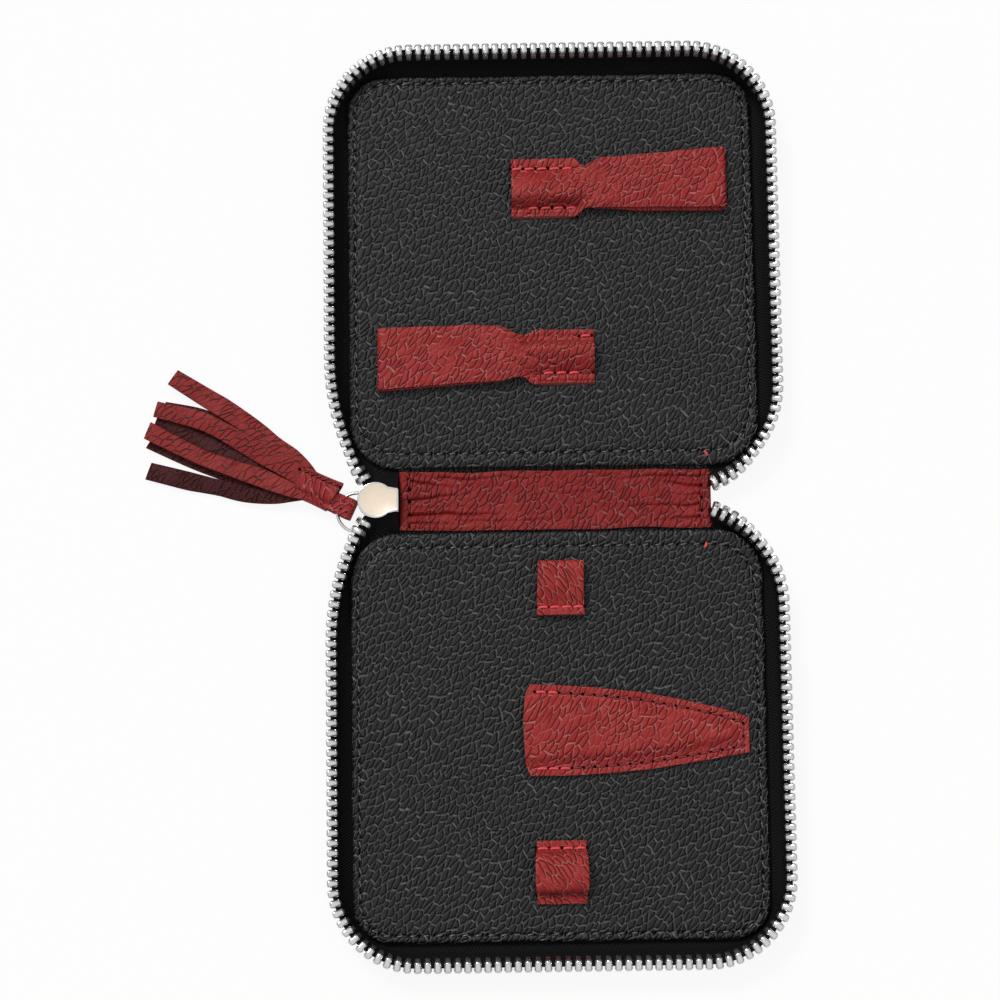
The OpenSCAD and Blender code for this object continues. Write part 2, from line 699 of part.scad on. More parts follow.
// Sewn base of a clipper strap; the flap leaves it towards +X
module strap_base() {
    color(red_leather) translate([0, 0, panel_top])
        arch_strip(strap_base_l, strap_w, 2 * holder_stitch_in - 1, strap_rise);
}

module strap_seams() {
    color(red_leather) for (side = [-1, 1])
        translate([0, side * (strap_w / 2 - holder_stitch_in + 0.6), panel_top + holder_t])
            stitch_row(strap_base_l);
}

// Flap of doubled leather; shift moves its free end sideways
module strap_flap(shift) {
    x0 = strap_base_l + flap_gap;
    color(red_leather) translate([0, 0, flap_z]) linear_extrude(flap_t)
        polygon([[x0, -flap_neck_w / 2], [x0 + flap_l, shift - flap_w / 2],
            [x0 + flap_l, shift + flap_w / 2],
            [x0 + neck_l, shift * neck_l / flap_l + flap_w / 2 - 0.5], [x0, flap_neck_w / 2]]);
}

neck_l = 4.5;
right_shift = 2.1;
left_shift = -0.6;
module right_strap() { translate([right_strap_x, right_strap_y, 0]) children(); }
module left_strap() { translate([left_strap_x, left_strap_y, 0]) mirror([1, 0, 0]) children(); }

module strap_base_right() { right_strap() strap_base(); }
module strap_stitches_right() { right_strap() strap_seams(); }
module strap_flap_right() { right_strap() strap_flap(right_shift); }
module strap_base_left() { left_strap() strap_base(); }
module strap_stitches_left() { left_strap() strap_seams(); }
module strap_flap_left() { left_strap() strap_flap(left_shift); }

outer_cover_lower();
board_lower();
lining_lower();
lining_seam_lower();
zip_tape_lower();
zip_teeth_lower();
tape_ends_lower();
teeth_ends_lower();
file_loop();
file_loop_stitches();
scissors_pocket();
pocket_stitches();
pusher_loop();
pusher_loop_stitches();
spine_cover();
spine_stiffener();
spine_lining();
spine_lining_hems();
spine_stitches();
tape_tuck();
bottom_stop();
slider_body();
pull_ring();
tassel_loop();
tassel_collar();
tassel_fringe();
tassel_stitches();
outer_cover_upper();
board_upper();
lining_upper();
lining_seam_upper();
zip_tape_upper();
zip_teeth_upper();
tape_ends_upper();
teeth_ends_upper();
strap_base_right();
strap_stitches_right();
strap_flap_right();
strap_base_left();
strap_stitches_left();
strap_flap_left();
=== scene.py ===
# Open zip case for a manicure set: black pebbled leather, red leather holders, metal zip, leather tassel.
# Sizes are in millimetres and become metres when a mesh is placed.
import math
import bpy
from mathutils import Matrix, Vector, noise


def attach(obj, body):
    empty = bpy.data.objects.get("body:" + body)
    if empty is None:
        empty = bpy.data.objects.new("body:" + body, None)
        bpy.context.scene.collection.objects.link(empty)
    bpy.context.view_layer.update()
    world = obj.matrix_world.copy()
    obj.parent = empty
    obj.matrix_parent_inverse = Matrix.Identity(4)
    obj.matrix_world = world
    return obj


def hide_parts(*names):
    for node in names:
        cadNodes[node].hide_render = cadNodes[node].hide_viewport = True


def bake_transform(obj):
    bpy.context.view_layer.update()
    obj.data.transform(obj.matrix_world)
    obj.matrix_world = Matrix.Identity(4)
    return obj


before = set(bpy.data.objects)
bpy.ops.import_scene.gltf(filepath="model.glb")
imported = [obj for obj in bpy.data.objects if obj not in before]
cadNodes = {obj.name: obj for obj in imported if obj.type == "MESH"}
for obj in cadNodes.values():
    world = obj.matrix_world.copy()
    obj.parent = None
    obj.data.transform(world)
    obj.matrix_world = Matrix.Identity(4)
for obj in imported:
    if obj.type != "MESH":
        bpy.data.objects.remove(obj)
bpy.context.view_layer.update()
mm = 0.001
print("frame loaded")


# Small helpers

def mix(a, b, f):
    return a + (b - a) * f


def ease(f):
    f = max(0.0, min(1.0, f))
    return f * f * (3 - 2 * f)


def clamp(value, low, high):
    return max(low, min(high, value))


def along(table, t, soft=0.0):
    # height of a listed outline at t; soft rounds its corners over that length
    if soft:
        return sum(along(table, t + soft * k) for k in (-1, -0.5, 0, 0.5, 1)) / 5
    if t <= table[0][0]:
        return table[0][1]
    for (t0, v0), (t1, v1) in zip(table, table[1:]):
        if t <= t1:
            return mix(v0, v1, (t - t0) / (t1 - t0))
    return table[-1][1]


def ripple(x, y, size, seed=0.0):
    # smooth wandering value between about -1 and 1
    return noise.noise(Vector((x / size, y / size, seed))) * 2


def makeActive(piece):
    bpy.ops.object.select_all(action="DESELECT")
    piece.select_set(True)
    bpy.context.view_layer.objects.active = piece


def applyModifier(piece, kind, **settings):
    makeActive(piece)
    modifier = piece.modifiers.new(kind.lower(), kind)
    for name, value in settings.items():
        setattr(modifier, name, value)
    bpy.ops.object.modifier_apply(modifier=modifier.name)


def smoothShade(piece, angle):
    makeActive(piece)
    bpy.ops.object.shade_smooth_by_angle(angle=math.radians(angle))


def bentGrid(name, stepsU, stepsV, place):
    # a flat grid whose points go where place(u, v) says: (spot, spot on the flat hide), both in mm
    bpy.ops.object.select_all(action="DESELECT")
    bpy.ops.mesh.primitive_grid_add(x_subdivisions=stepsU, y_subdivisions=stepsV, size=2)
    piece = bpy.context.object
    piece.name = name
    mesh = piece.data
    flat = []
    for vertex in mesh.vertices:
        spot, onHide = place((vertex.co.x + 1) / 2, (vertex.co.y + 1) / 2)
        vertex.co = Vector(spot) * mm
        flat.append(onHide)
    layer = mesh.uv_layers.active.data
    for loop in mesh.loops:
        u, v = flat[loop.vertex_index]
        layer[loop.index].uv = (u * mm, v * mm)
    mesh.update()
    return piece


def leatherSheet(name, stepsU, stepsV, place, thick, face, edge, soften):
    # a bent grid with its thickness and softened cut edges
    piece = bentGrid(name, stepsU, stepsV, place)
    piece.data.materials.append(face)
    piece.data.materials.append(edge)
    applyModifier(piece, "SOLIDIFY", thickness=thick * mm, offset=0.0, material_offset_rim=1,
                  use_quality_normals=True)
    applyModifier(piece, "BEVEL", width=soften * mm, segments=2, limit_method="ANGLE",
                  angle_limit=math.radians(60))
    smoothShade(piece, 50)
    return piece


def settle(piece, body=None, bend=None, standsFor=()):
    # the piece rides on a body; with a bend given it is only baked in place and does not bend
    if bend:
        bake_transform(piece)
    else:
        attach(piece, body)
    if standsFor:
        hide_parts(*standsFor)
    return piece


def joinCopies(name, master, places):
    # copies of one small shape, each with its own mesh, joined into one piece
    bpy.ops.object.select_all(action="DESELECT")
    copies = []
    for place in places:
        copy = master.copy()
        copy.data = master.data.copy()
        copy.data.transform(place)
        bpy.context.collection.objects.link(copy)
        copy.select_set(True)
        copies.append(copy)
    bpy.context.view_layer.objects.active = copies[0]
    if len(copies) > 1:
        bpy.ops.object.join()
    piece = bpy.context.object
    piece.name = name
    return piece


def placeAt(spot, alongDir, upDir, scale=1.0):
    # X of a small shape goes along alongDir, its Z to upDir
    x = Vector(alongDir).normalized()
    y = Vector(upDir).cross(x).normalized()
    z = x.cross(y)
    turn = Matrix((x, y, z)).transposed().to_4x4()
    return Matrix.Translation(Vector(spot) * mm) @ turn @ Matrix.Diagonal((scale, 1, 1, 1))


# Materials

def linearColour(hexColour):
    parts = [int(hexColour[k:k + 2], 16) / 255 for k in (1, 3, 5)]
    return tuple(p / 12.92 if p <= 0.04045 else ((p + 0.055) / 1.055) ** 2.4 for p in parts) + (1.0,)


def addNode(tree, kind, settings=None, inputs=None):
    node = tree.nodes.new("ShaderNode" + kind)
    for name, value in (settings or {}).items():
        setattr(node, name, value)
    for name, value in (inputs or {}).items():
        if isinstance(value, bpy.types.NodeSocket):
            tree.links.new(value, node.inputs[name])
        else:
            node.inputs[name].default_value = value
    return node


def newMaterial(name):
    material = bpy.data.materials.new(name)
    material.use_nodes = True
    material.node_tree.nodes.clear()
    return material, material.node_tree


# Full-grain cowhide, drum dyed and pressed with a pebble grain: two families of creases, one long and
# shallow, one short and steep, part it into small pebbles whose upper rims catch the light.
blackHide = {
    "longTurn": 24, "shortTurn": 74, "longStep": 2.5, "shortStep": 2.0, "order": 0.8,
    "bend": 0.8, "bendSize": 24.0, "jitter": 0.14, "jitterSize": 2.6,
    # crease colour: painted shade in the creases; lip colour: painted highlight on the lips
    "crease": "#020202", "lipAndHighlight": "#646263", "base": "#0c0b0c", "pale": "#131213",
    "creaseWidth": 0.19, "creaseSpread": 0.35, "lipWidth": 0.12, "lipShift": (0.22, -0.22),
    "lipRise": 0.5, "lipHighlightShare": 0.8, "dome": 0.12, "domeWidth": 0.45, "micro": 0.06, "microSize": 0.5,
    "relief": 0.34, "roughness": 0.42, "roughSpread": 0.14, "specular": 0.34, "patch": 14.0,
}
# The same tannage in dark red, thinner and softer: the grain fades in places and the ridges get a pale
# painted highlight.
redHide = {
    "longTurn": 28, "shortTurn": 72, "longStep": 3.0, "shortStep": 2.2, "order": 0.82,
    "bend": 0.8, "bendSize": 20.0, "jitter": 0.15, "jitterSize": 2.8,
    # crease colour: painted shade in the creases; lip colour: painted highlight on the lips
    "crease": "#640f10", "lipAndHighlight": "#c67876", "base": "#8c2120", "pale": "#9a302d",
    "creaseWidth": 0.2, "creaseSpread": 0.65, "lipWidth": 0.1, "lipShift": (0.2, -0.18),
    "lipRise": 0.5, "lipHighlightShare": 0.6, "dome": 0.08, "domeWidth": 0.45, "micro": 0.06, "microSize": 0.5,
    "relief": 0.22, "roughness": 0.5, "roughSpread": 0.12, "specular": 0.18, "patch": 9.0,
}


def makeHide(name, look):
    material, tree = newMaterial(name)
    hide = addNode(tree, "UVMap").outputs["UV"]
    # a skewed lattice along the two families of creases; the hide's stretch bends and jitters it.
    # The press leaves a raised lip at the lower right of each crease; its paler colour is a painted
    # highlight.
    longWay, shortWay = (math.radians(look[k]) for k in ("longTurn", "shortTurn"))
    skew = math.sin(shortWay - longWay)
    parts, shift = [], []
    for vector, step in (((math.sin(shortWay), -math.cos(shortWay), 0), look["shortStep"]),
                         ((-math.sin(longWay), math.cos(longWay), 0), look["longStep"])):
        size = Vector(vector) / (skew * step * mm)
        shift.append(-size.dot(Vector((*look["lipShift"], 0)) * mm))
        parts.append(addNode(tree, "VectorMath", {"operation": "DOT_PRODUCT"},
                             {0: hide, 1: size}).outputs["Value"])
    grain = addNode(tree, "CombineXYZ", {}, {"X": parts[0], "Y": parts[1]}).outputs[0]
    for amount, size in (("bend", "bendSize"), ("jitter", "jitterSize")):
        drift = addNode(tree, "TexNoise", {"noise_dimensions": "2D"},
                        {"Vector": hide, "Scale": 1 / (look[size] * mm), "Detail": 1.0}).outputs["Color"]
        grain = addNode(tree, "VectorMath", {"operation": "MULTIPLY_ADD"},
                        {0: drift, 1: (look[amount] * 2,) * 3, 2: grain}).outputs[0]
    moved = addNode(tree, "VectorMath", {"operation": "ADD"},
                    {0: grain, 1: (*shift, 0)}).outputs[0]
    cells, beside = (addNode(tree, "TexVoronoi",
                             {"feature": "DISTANCE_TO_EDGE", "voronoi_dimensions": "2D"},
                             {"Vector": where, "Scale": 1.0, "Randomness": look["order"]}
                             ).outputs["Distance"] for where in (grain, moved))
    # some creases are deep, others nearly gone
    depth = addNode(tree, "TexNoise", {"noise_dimensions": "2D"},
                    {"Vector": grain, "Scale": 0.45, "Detail": 1.0}).outputs[0]
    depth = addNode(tree, "MapRange", {"interpolation_type": "SMOOTHSTEP"},
                    {"Value": depth, "From Min": 0.32, "From Max": 0.55,
                     "To Min": 1 - look["creaseSpread"]}).outputs[0]
    level = {}
    for part, distance, low, high, rest in (("groove", cells, 0.01, look["creaseWidth"], 1.0),
                                            ("pebble", cells, 0.0, look["domeWidth"], 0.0),
                                            ("lipAndHighlight", beside, 0.0, look["lipWidth"], 1.0)):
        level[part] = addNode(tree, "MapRange", {"interpolation_type": "SMOOTHSTEP"},
                              {"Value": distance, "From Min": low, "From Max": high,
                               "To Min": rest, "To Max": 1 - rest}).outputs[0]
    for part in ("groove", "lipAndHighlight"):
        level[part] = addNode(tree, "Math", {"operation": "MULTIPLY"},
                              {0: level[part], 1: depth}).outputs[0]
    micro = addNode(tree, "TexNoise", {"noise_dimensions": "2D"},
                    {"Vector": hide, "Scale": 1 / (look["microSize"] * mm), "Detail": 3.0}).outputs[0]
    height = addNode(tree, "Math", {"operation": "SUBTRACT"},
                     {0: 1.0, 1: level["groove"]}).outputs[0]
    for part, share in ((level["pebble"], "dome"), (level["lipAndHighlight"], "lipRise"), (micro, "micro")):
        height = addNode(tree, "Math", {"operation": "MULTIPLY_ADD"},
                         {0: part, 1: look[share], 2: height}).outputs[0]
    bump = addNode(tree, "Bump", {},
                   {"Height": height, "Distance": look["relief"] * mm, "Strength": 1.0}).outputs[0]
    # colour: painted shade darkens the creases, a painted highlight lightens the lips beside them, and the
    # hide is paler where it was handled
    patches = addNode(tree, "TexNoise", {"noise_dimensions": "2D"},
                      {"Vector": hide, "Scale": 1 / (look["patch"] * mm), "Detail": 5.0,
                       "Roughness": 0.65}).outputs[0]
    patches = addNode(tree, "MapRange", {},
                      {"Value": patches, "From Min": 0.35, "From Max": 0.68}).outputs[0]
    lipAndHighlight = addNode(tree, "Math", {"operation": "MULTIPLY"},
                  {0: level["lipAndHighlight"], 1: look["lipHighlightShare"]}).outputs[0]
    colour = linearColour(look["base"])
    for share, tone in ((patches, "pale"), (level["groove"], "crease"), (lipAndHighlight, "lipAndHighlight")):
        colour = addNode(tree, "Mix", {"data_type": "RGBA"},
                         {"Factor": share, 6: colour, 7: linearColour(look[tone])}).outputs[2]
    gloss = addNode(tree, "MapRange", {},
                    {"Value": micro, "From Min": 0.3, "From Max": 0.7,
                     "To Min": look["roughness"] - look["roughSpread"] / 2,
                     "To Max": look["roughness"] + look["roughSpread"] / 2}).outputs[0]
    shader = addNode(tree, "BsdfPrincipled", {},
                     {"Base Color": colour, "Roughness": gloss, "Normal": bump,
                      "Specular IOR Level": look["specular"], "IOR": 1.5})
    addNode(tree, "OutputMaterial", {}, {"Surface": shader.outputs[0]})
    return material


def makeSimple(name, look):
    # a plain finish broken up by fine noise in colour and relief, on Object coordinates
    material, tree = newMaterial(name)
    spot = addNode(tree, "TexCoord").outputs["Object"]
    grit = addNode(tree, "TexNoise", {},
                   {"Vector": spot, "Scale": 1 / (look["grit"] * mm), "Detail": 3.0}).outputs[0]
    colour = addNode(tree, "Mix", {"data_type": "RGBA"},
                     {"Factor": grit, 6: linearColour(look["dark"]),
                      7: linearColour(look["light"])}).outputs[2]
    gloss = addNode(tree, "MapRange", {},
                    {"Value": grit, "From Min": 0.3, "From Max": 0.7,
                     "To Min": look["roughness"] * 0.8, "To Max": look["roughness"] * 1.2}).outputs[0]
    bump = addNode(tree, "Bump", {},
                   {"Height": grit, "Distance": look["relief"] * mm, "Strength": 1.0}).outputs[0]
    shader = addNode(tree, "BsdfPrincipled", {},
                     {"Base Color": colour, "Roughness": gloss, "Normal": bump})
    shader.inputs["Metallic"].default_value = look.get("metallic", 0.0)
    if "specular" in look:
        shader.inputs["Specular IOR Level"].default_value = look["specular"]
    addNode(tree, "OutputMaterial", {}, {"Surface": shader.outputs[0]})
    return material


def makeWeave(name, look):
    # woven polyester tape in a herringbone: ribs that lean left and right in turn across the width;
    # a real rib is 0.3 mm wide, drawn at 0.8 mm so that it shows
    material, tree = newMaterial(name)
    spot = addNode(tree, "UVMap").outputs["UV"]
    parts = addNode(tree, "SeparateXYZ", {}, {"Vector": spot}).outputs
    zigzag = addNode(tree, "Math", {"operation": "PINGPONG"},
                     {0: parts["Y"], 1: look["column"] * mm}).outputs[0]
    lean = addNode(tree, "Math", {"operation": "ADD"}, {0: parts["X"], 1: zigzag}).outputs[0]
    rib = addNode(tree, "Math", {"operation": "PINGPONG"},
                  {0: lean, 1: look["rib"] * mm / 2}).outputs[0]
    rib = addNode(tree, "Math", {"operation": "DIVIDE"},
                  {0: rib, 1: look["rib"] * mm / 2}).outputs[0]
    # the crests of the ribs take the lighter colour: painted sheen
    colour = addNode(tree, "Mix", {"data_type": "RGBA"},
                     {"Factor": rib, 6: linearColour(look["dark"]),
                      7: linearColour(look["light"])}).outputs[2]
    bump = addNode(tree, "Bump", {},
                   {"Height": rib, "Distance": look["relief"] * mm, "Strength": 0.7}).outputs[0]
    shader = addNode(tree, "BsdfPrincipled", {},
                     {"Base Color": colour, "Roughness": look["roughness"], "Normal": bump,
                      "Specular IOR Level": look["specular"]})
    addNode(tree, "OutputMaterial", {}, {"Surface": shader.outputs[0]})
    return material


blackLeather = makeHide("blackPebbledCowhide", blackHide)
redLeather = makeHide("redSoftCowhide", redHide)
# A darker copy of the same hide for the fringe strips that lie under the others: painted shade.
shadedStripLeather = makeHide("shadedStripCowhide", {
    **redHide, "crease": "#1c0606", "lipAndHighlight": "#6a3435", "base": "#381114", "pale": "#481b1d",
    "specular": 0.15, "roughness": 0.6})
# The fringe's strips were split thinner, so their grain is flatter and the dye duller.
fringeLeather = makeHide("thinRedSoftCowhide", {
    **redHide, "crease": "#4d1011", "lipAndHighlight": "#9c5652", "base": "#7f2321", "pale": "#8a2d2a",
    "lipHighlightShare": 0.4, "relief": 0.17, "specular": 0.14})
# The spine's strip was cut from a deeper dyed part.
deepLeather = makeHide("deepRedSoftCowhide", {
    **redHide, "crease": "#4c0a0b", "lipAndHighlight": "#ab5a59", "base": "#791614", "pale": "#872220"})
# Raw cut edge of the red hide: fibres take less dye, so it is matt and a little paler.
redEdge = makeSimple("redRawEdge", {"grit": 0.5, "dark": "#5c2422", "light": "#8d4a45",
                                    "roughness": 0.85, "relief": 0.06, "specular": 0.2})
blackEdge = makeSimple("blackRawEdge", {"grit": 0.5, "dark": "#0b0b0b", "light": "#1d1c1c",
                                        "roughness": 0.85, "relief": 0.06, "specular": 0.25})
# Bonded polyester thread, black: smooth, with a slight sheen; its grey patches are painted glints.
blackThread = makeSimple("blackBondedThread", {"grit": 0.3, "dark": "#1a1918", "light": "#6c6764",
                                               "roughness": 0.22, "relief": 0.05, "specular": 0.5})
redThread = makeSimple("redBondedThread", {"grit": 0.35, "dark": "#c02632", "light": "#ea5a61",
                                           "roughness": 0.45, "relief": 0.06, "specular": 0.4})
# The same thread dyed to match the hide, so that it hardly shows.
plainThread = makeSimple("darkRedThread", {"grit": 0.3, "dark": "#551517", "light": "#8a3133",
                                           "roughness": 0.55, "relief": 0.05, "specular": 0.35})
# Woven polyester, dyed black: matt; the crests of its ribs are painted lighter, a painted sheen by which
# the herringbone is only just seen.
zipTape = makeWeave("wovenPolyesterTape", {"column": 1.6, "rib": 0.8, "dark": "#010101",
                                           "light": "#1e1d1d", "roughness": 0.75, "relief": 0.3,
                                           "specular": 0.1})
# Painted shade for the needle's holes beside a stitch and for the awl marks: near-black discs.
paintedHoleShade = makeSimple("needleHoleShade", {"grit": 0.3, "dark": "#080203", "light": "#120405",
                                          "roughness": 0.9, "relief": 0.02, "specular": 0.05})
# Zinc alloy, nickel plated and barrel polished: bright, with faint tumbling marks.
nickel = makeSimple("polishedNickelPlate", {"grit": 0.8, "dark": "#d6d7d7", "light": "#f0efee",
                                            "roughness": 0.16, "relief": 0.01, "metallic": 1.0})
# Satin champagne lacquer on the slider's face.
sliderFace = makeSimple("champagneSatinLacquer", {"grit": 0.7, "dark": "#e6d5bf", "light": "#efdfca",
                                                  "roughness": 0.34, "relief": 0.012})
# Rolled grey board with short fibres, matt.
greyBoard = makeSimple("greyBoard", {"grit": 0.7, "dark": "#6e675b", "light": "#8b8475",
                                     "roughness": 0.9, "relief": 0.05})
print("materials made")


# Sizes shared by the pieces

case = {
    "halfWide": 53.0, "nearY": 8.3, "farY": 112.8, "nearCorner": 12.0, "farCorner": 10.0,
    "coverThick": 1.1, "top": 3.6, "tapeThick": 0.6, "tapeMid": 1.4, "seamWide": 5.0,
    "stitchIn": 2.0, "stitchNear": 1.9, "nearFrom": 0.72, "stitchPitch": 3.3,
    "foldStart": 11.0, "foldEnd": 6.0,
}
sides = {
    "lower": {"sign": -1, "body": "lower_half"},
    "upper": {"sign": 1, "body": "upper_half"},
}


def foldBend(sign, start=case["foldStart"], end=case["foldEnd"]):
    # leather and tape that cross a fold line, from the half to the spine
    body = "lower_half" if sign < 0 else "upper_half"
    return (body, "spine", (0, sign * start * mm, 0), (0, sign * end * mm, 0))


# Lining panels: one sheet each, puffed inside and outside its sewn border

liningLook = {
    # distance in from the edge and height of each ring of points, from the foot of the edge inwards
    "rings": [(0.1, 1.75), (0.0, 2.3), (0.0, 2.85), (0.1, 3.2), (0.36, 3.46), (0.8, 3.62), (1.3, 3.62),
              (1.68, 3.5), (1.87, 3.2), (2.0, 3.08), (2.13, 3.2), (2.34, 3.5), (2.8, 3.66),
              (3.6, 3.72), (4.6, 3.7), (5.8, 3.62)],
    "innerRings": 40, "swell": 0.1, "swellSize": 22.0, "edgeWave": 0.2, "waveRings": 5,
    "turnUnder": 3.3, "seamShiftFrom": 0.4, "seamShiftOver": 1.2, "puffedFrom": 3.4,
}


def panelSpot(a, b, inset, shrink=1.0):
    # point of the panel's outline drawn in by inset, and the way out from it; b = 1 is the spine's side
    corner = case["nearCorner"] if b > 0 else case["farCorner"]
    halfX = case["halfWide"] - inset
    halfY = (case["farY"] - case["nearY"]) / 2 - inset
    radius = max(corner - inset, 0.6)
    x, y = a * halfX, b * halfY
    coreX, coreY = clamp(x, radius - halfX, halfX - radius), clamp(y, radius - halfY, halfY - radius)
    out = Vector((x - coreX, y - coreY))
    if out.length < 1e-9:
        out = Vector((a, b))
    out.normalize()
    return Vector((coreX + out.x * radius, coreY + out.y * radius)) * shrink, out


def nearSide(b):
    # extra distance in from the edge of all that runs along the spine's side
    return case["stitchNear"] * ease((b - case["nearFrom"]) / (1 - case["nearFrom"]))


def makeLining(side):
    sign, look = sides[side]["sign"], liningLook
    rings = look["rings"]
    total = len(rings) + look["innerRings"]
    middle = (case["farY"] + case["nearY"]) / 2

    def place(u, v):
        a, b = u * 2 - 1, v * 2 - 1
        if sign > 0:
            b = -b
        reach = max(abs(a), abs(b))
        if reach < 1e-6:
            spot, out, z, drop = Vector((0, 0)), Vector((0, 0)), case["top"], 0
        else:
            ring = round((1 - reach) * total)
            inset, z = rings[min(ring, len(rings) - 1)]
            shrink = min(1.0, (total - ring) / (total - len(rings) + 1))
            shifted = clamp((inset - look["seamShiftFrom"]) / look["seamShiftOver"], 0, 1)
            inset += nearSide(b / reach) * shifted
            spot, out = panelSpot(a / reach, b / reach, inset, shrink)
            drop = max(0.0, look["turnUnder"] - z) if ring < 4 else 0.0
            # the cut edge wanders a little where the hide is pulled over the board
            wave = look["edgeWave"] * ripple(spot.x, spot.y, 7, 5.5) * ease((look["waveRings"] - ring) / 4)
            spot = spot + out * (wave - look["edgeWave"] * (ring < look["waveRings"]))
        y = sign * (middle - spot.y)
        lift = look["swell"] * ripple(spot.x, y, look["swellSize"], 3.1)
        # the groove and the edge stay where they are
        z += lift if z > look["puffedFrom"] else 0.0
        return (spot.x, y, z), (spot.x + out.x * drop, y - sign * out.y * drop)

    steps = total * 2
    piece = bentGrid("lining_" + side + "_leather", steps, steps, place)
    piece.data.materials.append(blackLeather)
    smoothShade(piece, 60)
    return settle(piece, sides[side]["body"], standsFor=["lining_" + side])


def panelBorder():
    # the seam as a closed list of points, counter-clockwise round the lower half
    middle = (case["farY"] + case["nearY"]) / 2
    corners = [(-1, -1), (1, -1), (1, 1), (-1, 1), (-1, -1)]
    points = []
    for start, end in zip(corners, corners[1:]):
        for k in range(80):
            a, b = mix(start[0], end[0], k / 80), mix(start[1], end[1], k / 80)
            spot = panelSpot(a, b, case["stitchIn"] + nearSide(b))[0]
            points.append(Vector((spot.x, spot.y - middle)))
    return points + [points[0]]


def walkEvenly(points, pitch):
    # spots and directions at even steps along a line of points
    total = sum((b - a).length for a, b in zip(points, points[1:]))
    count = round(total / pitch)
    step = total / count
    found, done, nextAt = [], 0.0, step / 2
    for a, b in zip(points, points[1:]):
        length = (b - a).length
        while length > 0 and nextAt <= done + length and len(found) < count:
            found.append((a.lerp(b, (nextAt - done) / length), (b - a).normalized()))
            nextAt += step
        done += length
    return found


stitchLook = {"long": 1.7, "thick": 0.46, "slant": 14, "height": 3.32, "holeReach": 1.62, "holeSunk": 0.14,
              "holeRadius": 0.45, "awlRadius": 0.24}
# length, thickness and bow of the red and the dark red stitches
stitchKinds = {"red": (2.6, 0.68, 0.1), "plain": (2.1, 0.5, 0.15)}
# towards a stitch's end: stretch of its length, size against the one before, drop, share of the bow
stitchEnd = [(0.2, 0.97, 0.08, 0.55), (0.11, 0.88, 0.2, 0.75), (0.05, 0.6, 0.24, 0.3)]


def selectFaces(piece, wanted):
    # selects the faces that wanted() picks, and nothing else
    mesh = piece.data
    for item in list(mesh.vertices) + list(mesh.edges):
        item.select = False
    for polygon in mesh.polygons:
        polygon.select = bool(wanted(polygon))
        if polygon.select:
            for index in polygon.vertices:
                mesh.vertices[index].select = True


def makeStitch(name, material, long, thick, bow=0.0):
    # one stitch: a thread that bows sideways and dives into a hole at both ends
    bpy.ops.object.select_all(action="DESELECT")
    bpy.ops.mesh.primitive_cylinder_add(vertices=6, radius=thick / 2 * mm, depth=long * 0.3 * mm,
                                        end_fill_type="NGON", rotation=(0, math.pi / 2, 0))
    piece = bpy.context.object
    piece.name = name
    bpy.ops.object.transform_apply(rotation=True)
    for end in (-1, 1):
        for reach, size, drop, back in stitchEnd:
            selectFaces(piece, lambda polygon: polygon.normal.x * end > 0.8)
            bpy.ops.object.mode_set(mode="EDIT")
            bpy.ops.mesh.select_mode(type="FACE")
            bpy.ops.mesh.extrude_region_move(TRANSFORM_OT_translate={
                "value": (end * reach * long * mm, -back * bow * mm, -drop * thick * mm)})
            bpy.ops.transform.resize(value=(1, size, size))
            bpy.ops.object.mode_set(mode="OBJECT")
    piece.data.materials.append(material)
    smoothShade(piece, 60)
    return piece


def makeHole(name, radius):
    # a needle's hole: a shallow disc with a sunk middle, near-black as painted shade
    bpy.ops.object.select_all(action="DESELECT")
    bpy.ops.mesh.primitive_circle_add(vertices=8, radius=radius * mm, fill_type="NGON")
    piece = bpy.context.object
    piece.name = name
    bpy.ops.object.mode_set(mode="EDIT")
    bpy.ops.mesh.select_all(action="SELECT")
    bpy.ops.mesh.extrude_region_move(TRANSFORM_OT_translate={"value": (0, 0, 0.06 * mm)})
    bpy.ops.mesh.inset(thickness=radius * 0.35 * mm, depth=-0.04 * mm)
    bpy.ops.mesh.select_all(action="SELECT")
    bpy.ops.mesh.normals_make_consistent(inside=False)
    bpy.ops.object.mode_set(mode="OBJECT")
    piece.data.materials.append(paintedHoleShade)
    return piece


def sewStitches(name, master, spots, height, slant=0.0, holes=True):
    # spots: (x, y) and direction of each stitch; slant turns every stitch against its row, and the
    # needle's holes lie between the stitches
    # the needle's holes are discs of painted shade
    threads, holeShadeDiscs = [], []
    for k, (spot, way) in enumerate(spots):
        turned = Matrix.Rotation(math.radians(slant), 2) @ Vector(way[:2])
        threads.append(placeAt((spot.x, spot.y, height), (turned.x, turned.y, 0), (0, 0, 1)))
        ends = ((-1, 1) if k == 0 else (1,)) if holes else ()
        for end in ends:
            reach = Vector(way[:2]).normalized() * end * stitchLook["holeReach"]
            holeShadeDiscs.append(placeAt((spot.x + reach.x, spot.y + reach.y, height - stitchLook["holeSunk"]),
                                   (turned.x, turned.y, 0), (0, 0, 1)))
    piece = joinCopies(name, master, threads)
    if holeShadeDiscs:
        piece = joinPieces(name, [piece, joinCopies("holeShadeDiscs", needleHole, holeShadeDiscs)])
    return piece


def stitchRow(start, step, count, way):
    # spots of a straight row of stitches, and the way each one lies
    return [(Vector(start[:2]) + Vector(step) * k, Vector(way)) for k in range(count)]


def joinPieces(name, pieces):
    # the first piece takes in the others
    bpy.ops.object.select_all(action="DESELECT")
    for item in pieces:
        item.select_set(True)
    bpy.context.view_layer.objects.active = pieces[0]
    if len(pieces) > 1:
        bpy.ops.object.join()
    piece = bpy.context.object
    piece.name = name
    return piece


